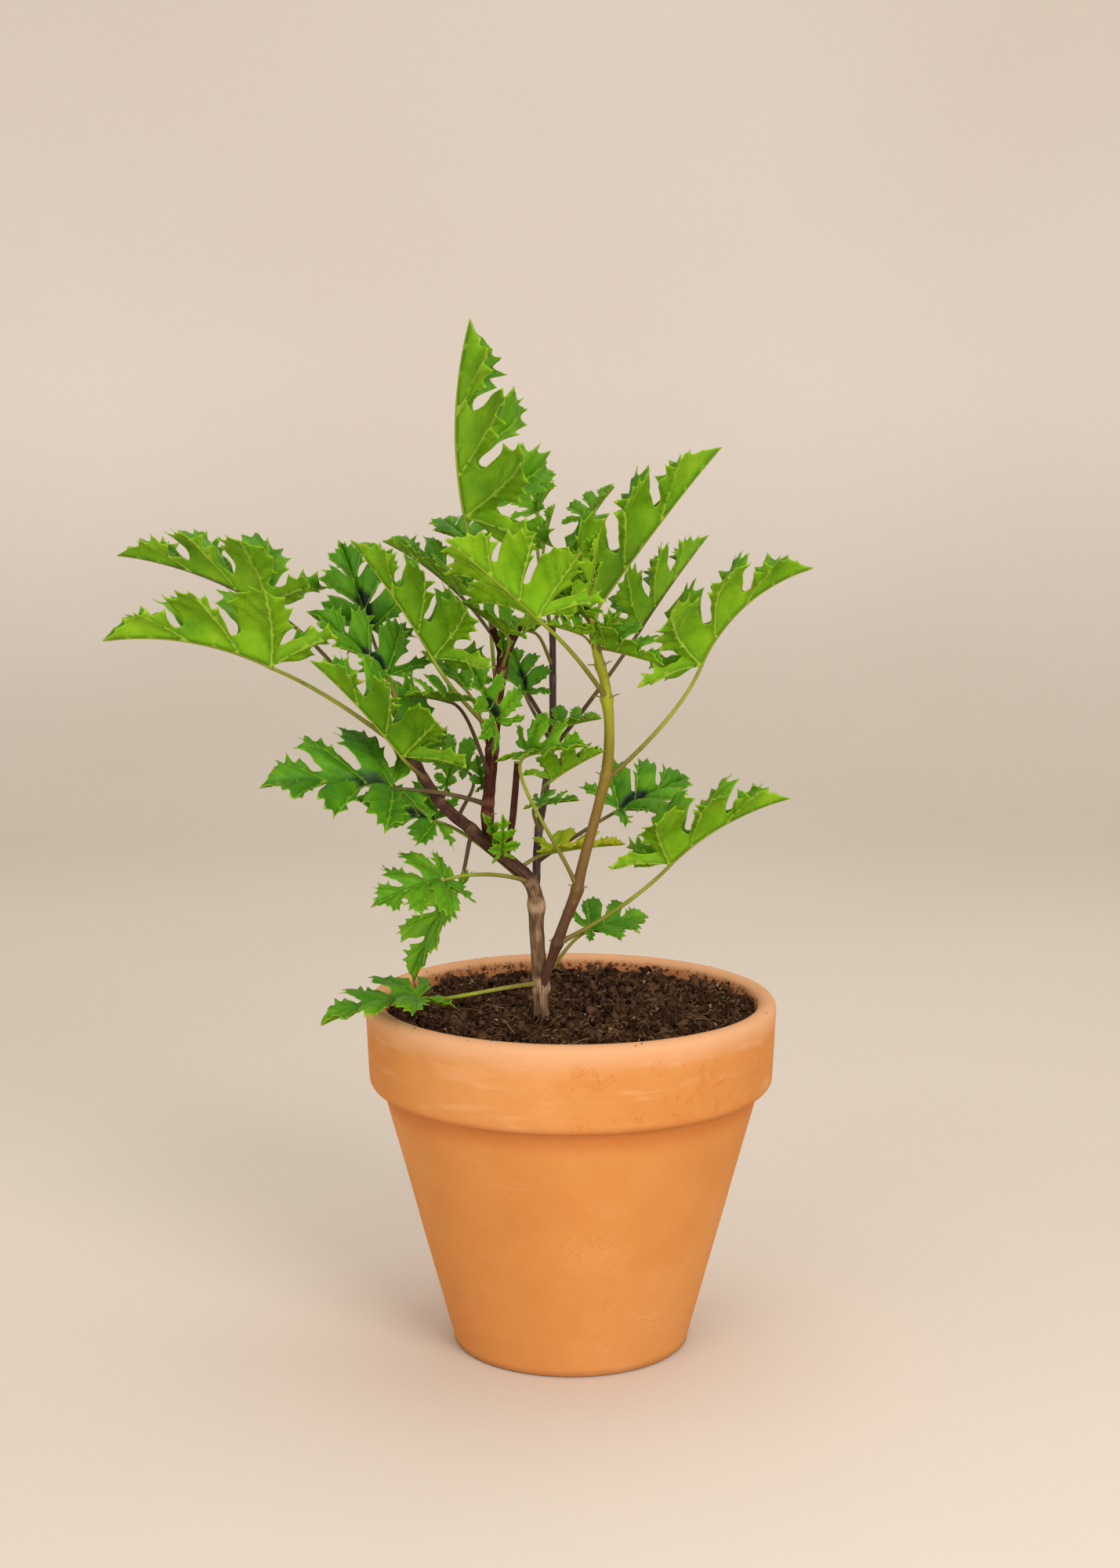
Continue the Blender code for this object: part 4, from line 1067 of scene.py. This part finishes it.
def build_pot(looks):
    under_rim = POT_HEIGHT - RIM_BAND_HEIGHT
    lip = (RIM_RADIUS - RIM_LIP_RADIUS, POT_HEIGHT - RIM_LIP_RADIUS)
    foot = RIM_RADIUS - RIM_TAPER
    step = foot - WALL_RADIUS_UNDER_RIM
    inner = [(pot_inner_radius(h), h) for h in np.linspace(FLOOR_THICKNESS, under_rim, 18)]
    inner += [(pot_inner_radius(h), h) for h in np.linspace(under_rim + 3, lip[1] - 3, 9)]
    outer = arc(lip, RIM_LIP_RADIUS, 180, 0, 26)
    drop = [(foot + (RIM_RADIUS - foot) * k, lip[1] + (under_rim + step * 0.75 - lip[1]) * (1 - k))
            for k in np.linspace(1.0, 0.0, 12)][1:]
    turn = spline([(foot, under_rim + step * 0.72), (foot - step * 0.06, under_rim + step * 0.38),
                   (foot - step * 0.30, under_rim + step * 0.10),
                   (foot - step * 0.68, under_rim - step * 0.06),
                   (WALL_RADIUS_UNDER_RIM + step * 0.02, under_rim - step * 0.42)], 5)
    wall = [(WALL_RADIUS_UNDER_RIM + (BASE_RADIUS - WALL_RADIUS_UNDER_RIM) * k,
             under_rim - step * 0.6 + (BASE_EDGE - under_rim + step * 0.6) * k)
            for k in np.linspace(0.03, 0.985, 26)]
    base = arc((BASE_RADIUS - BASE_EDGE, BASE_EDGE), BASE_EDGE, -8, -90, 6)
    profile = [(0.0, FLOOR_THICKNESS)] + inner + outer + drop
    profile += [tuple(p) for p in turn] + wall + base + [(0.0, 0.0)]
    mesh = bpy.data.meshes.new("pot_clay")
    edges = [(i, i + 1) for i in range(len(profile) - 1)]
    mesh.from_pydata([(r * MM, 0.0, z * MM) for r, z in profile], edges, [])
    pot = new_object("pot_clay", mesh)
    screw = pot.modifiers.new("turn", "SCREW")
    screw.steps = screw.render_steps = POT_STEPS
    screw.use_merge_vertices = True
    screw.merge_threshold = 0.00001
    screw.use_normal_calculate = True
    cutters = []
    for index in range(DRAIN_HOLES):
        angle = 2 * math.pi * (index + 0.25) / DRAIN_HOLES
        bm = bmesh.new()
        radius = DRAIN_HOLE_DIAMETER / 2 * MM
        bmesh.ops.create_cone(bm, cap_ends=True, segments=40, radius1=radius, radius2=radius, depth=0.04)
        shape = bpy.data.meshes.new("drain")
        bm.to_mesh(shape)
        bm.free()
        cutter = new_object(f"drain_{index}", shape)
        cutters.append(cutter)
        cutter.location = Vector((math.cos(angle), math.sin(angle), 0.0)) * DRAIN_HOLE_RING * MM
        cut = pot.modifiers.new(f"drain_{index}", "BOOLEAN")
        cut.object = cutter
        cut.solver = "EXACT"
    solid = baked(pot)
    for cutter in cutters:
        bpy.data.objects.remove(cutter, do_unlink=True)
    co = np.empty(len(solid.vertices) * 3)
    solid.vertices.foreach_get("co", co)
    co = co.reshape(-1, 3)
    for k, p in enumerate(co):
        radius = math.hypot(p[0], p[1])
        if radius > 0.05 and p[2] > 0.001:
            push = 0.00022 * smooth_noise(p, 26.0, 3.0) + 0.00010 * smooth_noise(p, 90.0, 5.0) - 0.00028
            co[k, :2] *= 1.0 + push / radius
    solid.vertices.foreach_set("co", co.ravel())
    solid.update()
    solid.shade_smooth()
    solid.set_sharp_from_angle(angle=math.radians(50))
    solid.materials.clear()
    solid.materials.append(looks["clay"])
    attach(pot, "root")
    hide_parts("pot")


def baked(obj):
    """Applies an object's modifiers to its own mesh."""
    graph = bpy.context.evaluated_depsgraph_get()
    mesh = bpy.data.meshes.new_from_object(obj.evaluated_get(graph))
    obj.modifiers.clear()
    obj.data = mesh
    return mesh


# ------------------------------------------------------------------ compost
def soil_height(x, y):
    """Height of the crumbly surface over the pot's base, in mm, at a point in mm."""
    radius = math.hypot(x, y)
    p = (x, y, 0.0)
    height = SOIL_TOP - 1.0 + 2.2 * smooth_noise(p, 0.045, 2.0) + 2.6 * smooth_noise(p, 0.12, 4.0)
    height += 2.4 * abs(smooth_noise(p, 0.24, 6.0)) + 1.3 * abs(smooth_noise(p, 0.6, 8.0))
    height += 1.4 * max(0.0, (radius - 60.0) / 20.0) + 1.0 * max(0.0, x / 80.0)
    height -= 3.4 * math.exp(-(((x - 6.0) ** 2) / 160.0 + ((y - 9.0) ** 2) / 90.0))
    height -= 1.2 * math.exp(-((x + 13.0) ** 2 + (y + 14.0) ** 2) / 70.0)
    return height


def clod_shapes(rng, count):
    """A few lumpy unit stones that the crumbs are copied from."""
    shapes = []
    for k in range(count):
        bm = bmesh.new()
        bmesh.ops.create_icosphere(bm, subdivisions=2 if k % 2 else 1, radius=1.0)
        verts = np.array([v.co for v in bm.verts])
        faces = [tuple(v.index for v in f.verts) for f in bm.faces]
        bm.free()
        stretch = rng.uniform(0.45, 1.45, 3)
        bumps = np.array([smooth_noise(v, 1.6, 10.0 * k + 3.0) for v in verts])
        verts = verts * (1.0 + 1.1 * bumps)[:, None] * stretch
        shapes.append((verts, faces))
    return shapes


def random_turn(rng):
    q = rng.normal(size=4)
    w, x, y, z = q / np.linalg.norm(q)
    return np.array([
        [1 - 2 * (y * y + z * z), 2 * (x * y - z * w), 2 * (x * z + y * w)],
        [2 * (x * y + z * w), 1 - 2 * (x * x + z * z), 2 * (y * z - x * w)],
        [2 * (x * z - y * w), 2 * (y * z + x * w), 1 - 2 * (x * x + y * y)],
    ])


def scattered(reach):
    """A seeded point in mm, spread evenly over a disk."""
    radius = reach * math.sqrt(RNG.uniform(0.0, 1.0))
    angle = RNG.uniform(0.0, 2 * math.pi)
    return radius * math.cos(angle), radius * math.sin(angle)


def build_soil(looks):
    out = Builder("compost_mass")
    reach = pot_inner_radius(SOIL_TOP) - 0.3
    rows, cols = SOIL_ROWS, SOIL_COLUMNS
    verts = [(0.0, 0.0, soil_height(0.0, 0.0) * MM)]
    for i in range(1, rows + 1):
        radius = reach * i / rows
        for j in range(cols):
            a = 2 * math.pi * j / cols
            x, y = radius * math.cos(a), radius * math.sin(a)
            verts.append((x * MM, y * MM, soil_height(x, y) * MM))
    faces = [(0, 1 + j, 1 + (j + 1) % cols) for j in range(cols)]
    for i in range(rows - 1):
        for j in range(cols):
            a, b = 1 + i * cols + j, 1 + i * cols + (j + 1) % cols
            faces.append((a, a + cols, b + cols, b))
    last = 1 + (rows - 1) * cols
    for height in (130.0, 100.0, 55.0, FLOOR_THICKNESS + 0.4):
        start = len(verts)
        radius = (pot_inner_radius(height) - 0.5) * MM
        for j in range(cols):
            a = 2 * math.pi * j / cols
            verts.append((radius * math.cos(a), radius * math.sin(a), height * MM))
        for j in range(cols):
            k = (j + 1) % cols
            faces.append((last + j, start + j, start + k, last + k))
        last = start
    faces.append(tuple(last + j for j in range(cols))[::-1])
    out.add(verts, faces, None, 0, tint=0.0)
    shapes = clod_shapes(RNG, 14)
    for _ in range(CLODS):
        x, y = scattered(pot_inner_radius(SOIL_TOP) - 1.2)
        size = min(3.4, 0.40 + RNG.exponential(0.42))
        if math.hypot(x, y) + size > pot_inner_radius(SOIL_TOP):
            continue
        if math.hypot(x + 13.0, y + 6.0) < 3.6 + size * 0.6:
            continue
        verts, faces = shapes[RNG.integers(len(shapes))]
        lift = soil_height(x, y) + size * RNG.uniform(0.0, 0.45)
        lump = (verts * size * MM) @ random_turn(RNG).T + np.array([x, y, lift]) * MM
        out.add(lump, faces, None, 0, tint=RNG.uniform(0.0, 1.0) ** 2.2)
    out.build([looks["soil"]], "soil")
    bits = Builder("compost_bits")
    for k in range(FIBRES):
        x, y = scattered(BITS_REACH)
        turn = RNG.uniform(0.0, 2 * math.pi)
        size = RNG.uniform(2.0, 6.5) if k % 40 else RNG.uniform(9.0, 18.0)
        line = []
        bend = RNG.normal(0.0, 0.7)
        rise = RNG.uniform(0.1, 0.5)
        for u in np.linspace(-0.5, 0.5, 6):
            px = x + size * u * math.cos(turn) - size * bend * u * u * math.sin(turn)
            py = y + size * u * math.sin(turn) + size * bend * u * u * math.cos(turn)
            if math.hypot(px, py) > 78.5:
                px, py = px * 78.0 / math.hypot(px, py), py * 78.0 / math.hypot(px, py)
            line.append(np.array([px, py, soil_height(px, py) + 1.0 + rise * size * (0.25 - u * u)]) * MM)
        thick = RNG.uniform(0.09, 0.22) * MM if k % 4 else RNG.uniform(0.25, 0.55) * MM
        kind = 0 if RNG.uniform() < 0.10 else 1
        add_tube(bits, line, np.linspace(thick, thick * 0.5, len(line)), 5, kind)
    for k in range(GRIT):
        x, y = scattered(BITS_REACH)
        size = RNG.uniform(0.35, 1.0)
        verts, faces = shapes[RNG.integers(len(shapes))]
        lump = (verts * (size, size, size * 0.6) * MM) @ random_turn(RNG).T
        lump = lump + np.array([x, y, soil_height(x, y) + 1.2]) * MM
        bits.add(lump, faces, None, 0 if k % 3 else 2, ridge=0.5)
    for _ in range(LIP_CRUMBS):
        a = RNG.uniform(0.0, 2 * math.pi)
        size = RNG.uniform(0.25, 0.95) ** 1.6
        side = RNG.uniform(0.0, 1.0)
        lip_angle = math.radians(RNG.uniform(60, 165) if side < 0.35 else RNG.uniform(155, 180))
        radius = RIM_RADIUS - RIM_LIP_RADIUS + (RIM_LIP_RADIUS + 0.1) * math.cos(lip_angle)
        height = POT_HEIGHT - RIM_LIP_RADIUS + (RIM_LIP_RADIUS - 0.25) * math.sin(lip_angle)
        if side >= 0.35:
            height -= RNG.uniform(0.0, 4.5)
            size *= 1.5
        verts, faces = shapes[RNG.integers(len(shapes))]
        lump = (verts * size * 0.7 * MM) @ random_turn(RNG).T
        lump = lump + np.array([radius * math.cos(a), radius * math.sin(a), height - size * 0.3]) * MM
        bits.add(lump, faces, None, 3, ridge=0.5)
    bits.build([looks["fibre"], looks["root"], looks["grit"], looks["crumb"]], None)


# ------------------------------------------------------------------ stage
def stage():
    """A plain pale floor that sweeps up into a wall behind the plant."""
    n = Nodes("stage_floor")
    co = n.object_co()
    cloud = n.noise(co, 1.3, 4.0, 0.5)
    tone = n.ramp(cloud, (0.3, (0.69, 0.610, 0.520)), (0.7, (0.75, 0.670, 0.580)))
    # The wall's paler tone is partly its own colour and partly painted light, lifting it to make up for the
    # weaker light that reaches it.
    wall = n.ramp(cloud, (0.3, (0.88, 0.780, 0.690)), (0.7, (0.92, 0.835, 0.755)))
    tone = n.mix(n.steps(n.axes(co)[2], 0.0, 0.5), tone, wall)
    n.finish(tone, 0.7, None, 0.2)
    verts, faces = [], []
    bend = 1.1
    sweep = [(-3.0, 0.0), (1.3, 0.0)]
    for k in range(1, 13):
        a = math.radians(7.5 * k)
        sweep.append((1.3 + bend * math.sin(a), bend * (1 - math.cos(a))))
    sweep.append((1.3 + bend, 4.0))
    for y, z in sweep:
        verts += [(-5.0, y, z), (5.0, y, z)]
    for k in range(len(sweep) - 1):
        faces.append((2 * k, 2 * k + 1, 2 * k + 3, 2 * k + 2))
    mesh = bpy.data.meshes.new("studio_floor")
    mesh.from_pydata(verts, [], faces)
    mesh.materials.append(n.material)
    mesh.shade_smooth()
    floor = new_object("studio_floor", mesh)
    floor.location = (0.0, 0.0, -0.0002)


def area_light(name, place, target, size, power, colour):
    data = bpy.data.lights.new(name, "AREA")
    data.shape = "RECTANGLE"
    data.size, data.size_y = size
    data.energy = power
    data.color = colour
    lamp = new_object(name, data)
    lamp.location = place
    lamp.rotation_euler = (Vector(target) - Vector(place)).to_track_quat("-Z", "Y").to_euler()


def camera():
    data = bpy.data.cameras.new("view")
    data.sensor_width = 36.0
    data.lens = LENS
    data.clip_start = 0.05
    cam = new_object("view", data)
    cam.location = CAMERA_PLACE
    cam.rotation_euler = (math.radians(90.0 - CAMERA_DOWN), 0.0, 0.0)
    bpy.context.scene.camera = cam


def world():
    scene_world = bpy.data.worlds.new("studio")
    scene_world.use_nodes = True
    sky = scene_world.node_tree.nodes["Background"]
    sky.inputs["Color"].default_value = (1.0, 0.965, 0.92, 1.0)
    sky.inputs["Strength"].default_value = 0.62
    bpy.context.scene.world = scene_world
    bpy.context.scene.view_settings.view_transform = "Standard"


def main():
    looks = {
        "upper": leaf_material("leaf_upper", True, False),
        "under": leaf_material("leaf_under", False, False),
        "upper_warm": leaf_material("leaf_upper_yellowing", True, True),
        "under_warm": leaf_material("leaf_under_yellowing", False, True),
        "stalk_green": stalk_material(
            "stalk_green", (0.17, 0.22, 0.012), (0.32, 0.37, 0.035), (0.17, 0.10, 0.03)
        ),
        "stalk_brown": stalk_material(
            "stalk_brown", (0.090, 0.055, 0.024), (0.17, 0.15, 0.045), (0.06, 0.026, 0.02)
        ),
        "right": stalk_material(
            "stem_right_skin", (0.27, 0.27, 0.012), (0.36, 0.38, 0.020), (0.20, 0.12, 0.03),
            ((0.235, 0.285, (0.20, 0.115, 0.022)), (0.175, 0.235, (0.085, 0.034, 0.020))),
        ),
        "bark": bark_material(
            "bark_trunk", (0.020, 0.009, 0.004), (0.160, 0.088, 0.043), (0.42, 0.280, 0.160),
            (0.198, 0.212, ((0.016, 0.006, 0.005), (0.055, 0.022, 0.015), (0.15, 0.075, 0.045))),
        ),
        "red": bark_material(
            "bark_red", (0.014, 0.003, 0.002), (0.048, 0.010, 0.006), (0.13, 0.045, 0.025)
        ),
        "purple": bark_material(
            "bark_purple", (0.020, 0.010, 0.012), (0.070, 0.045, 0.042), (0.15, 0.11, 0.09)
        ),
        "cut": plain_material("cut_wood", (0.20, 0.11, 0.06), (0.38, 0.25, 0.15), 900.0),
        "stipule": plain_material("stipule_papery", (0.16, 0.15, 0.035), (0.30, 0.26, 0.08), 500.0),
        "clay": terracotta_material(),
        "soil": soil_material(),
        "fibre": plain_material("straw_fibre", (0.14, 0.075, 0.030), (0.36, 0.22, 0.10), 600.0),
        "root": plain_material("dark_twig", (0.025, 0.010, 0.004), (0.190, 0.100, 0.048), 500.0),
        "grit": plain_material("pale_grit", (0.14, 0.10, 0.07), (0.40, 0.33, 0.25), 700.0),
        "crumb": plain_material("soil_crumb", (0.012, 0.005, 0.003), (0.070, 0.034, 0.018), 500.0),
    }
    step = BLADE_STEP
    templates = {
        "large": [Template(11 + k, step, 0.85) for k in range(3)],
        "small": [Template(31 + k, step * 1.4, 0.62) for k in range(3)],
    }
    for index, (name, row) in enumerate(LEAVES.items()):
        build_leaf(name, row, index, templates, looks)
    for index, (name, row) in enumerate(SHOOTS.items()):
        build_leaf(name, row, 60 + index, templates, looks)
    build_stems(looks)
    build_pot(looks)
    build_soil(looks)
    stage()
    camera()
    world()
    area_light("key", (0.95, -1.55, 0.85), (0.0, 0.0, 0.18), (0.9, 0.9), 22.0, (1.0, 0.97, 0.93))
    area_light("fill", (-1.1, -1.6, 0.55), (0.0, 0.0, 0.15), (1.4, 0.9), 12.5, (1.0, 0.96, 0.92))
    area_light("top", (0.1, 0.35, 1.5), (0.0, 0.0, 0.2), (1.2, 1.2), 6.0, (1.0, 0.98, 0.96))


main()
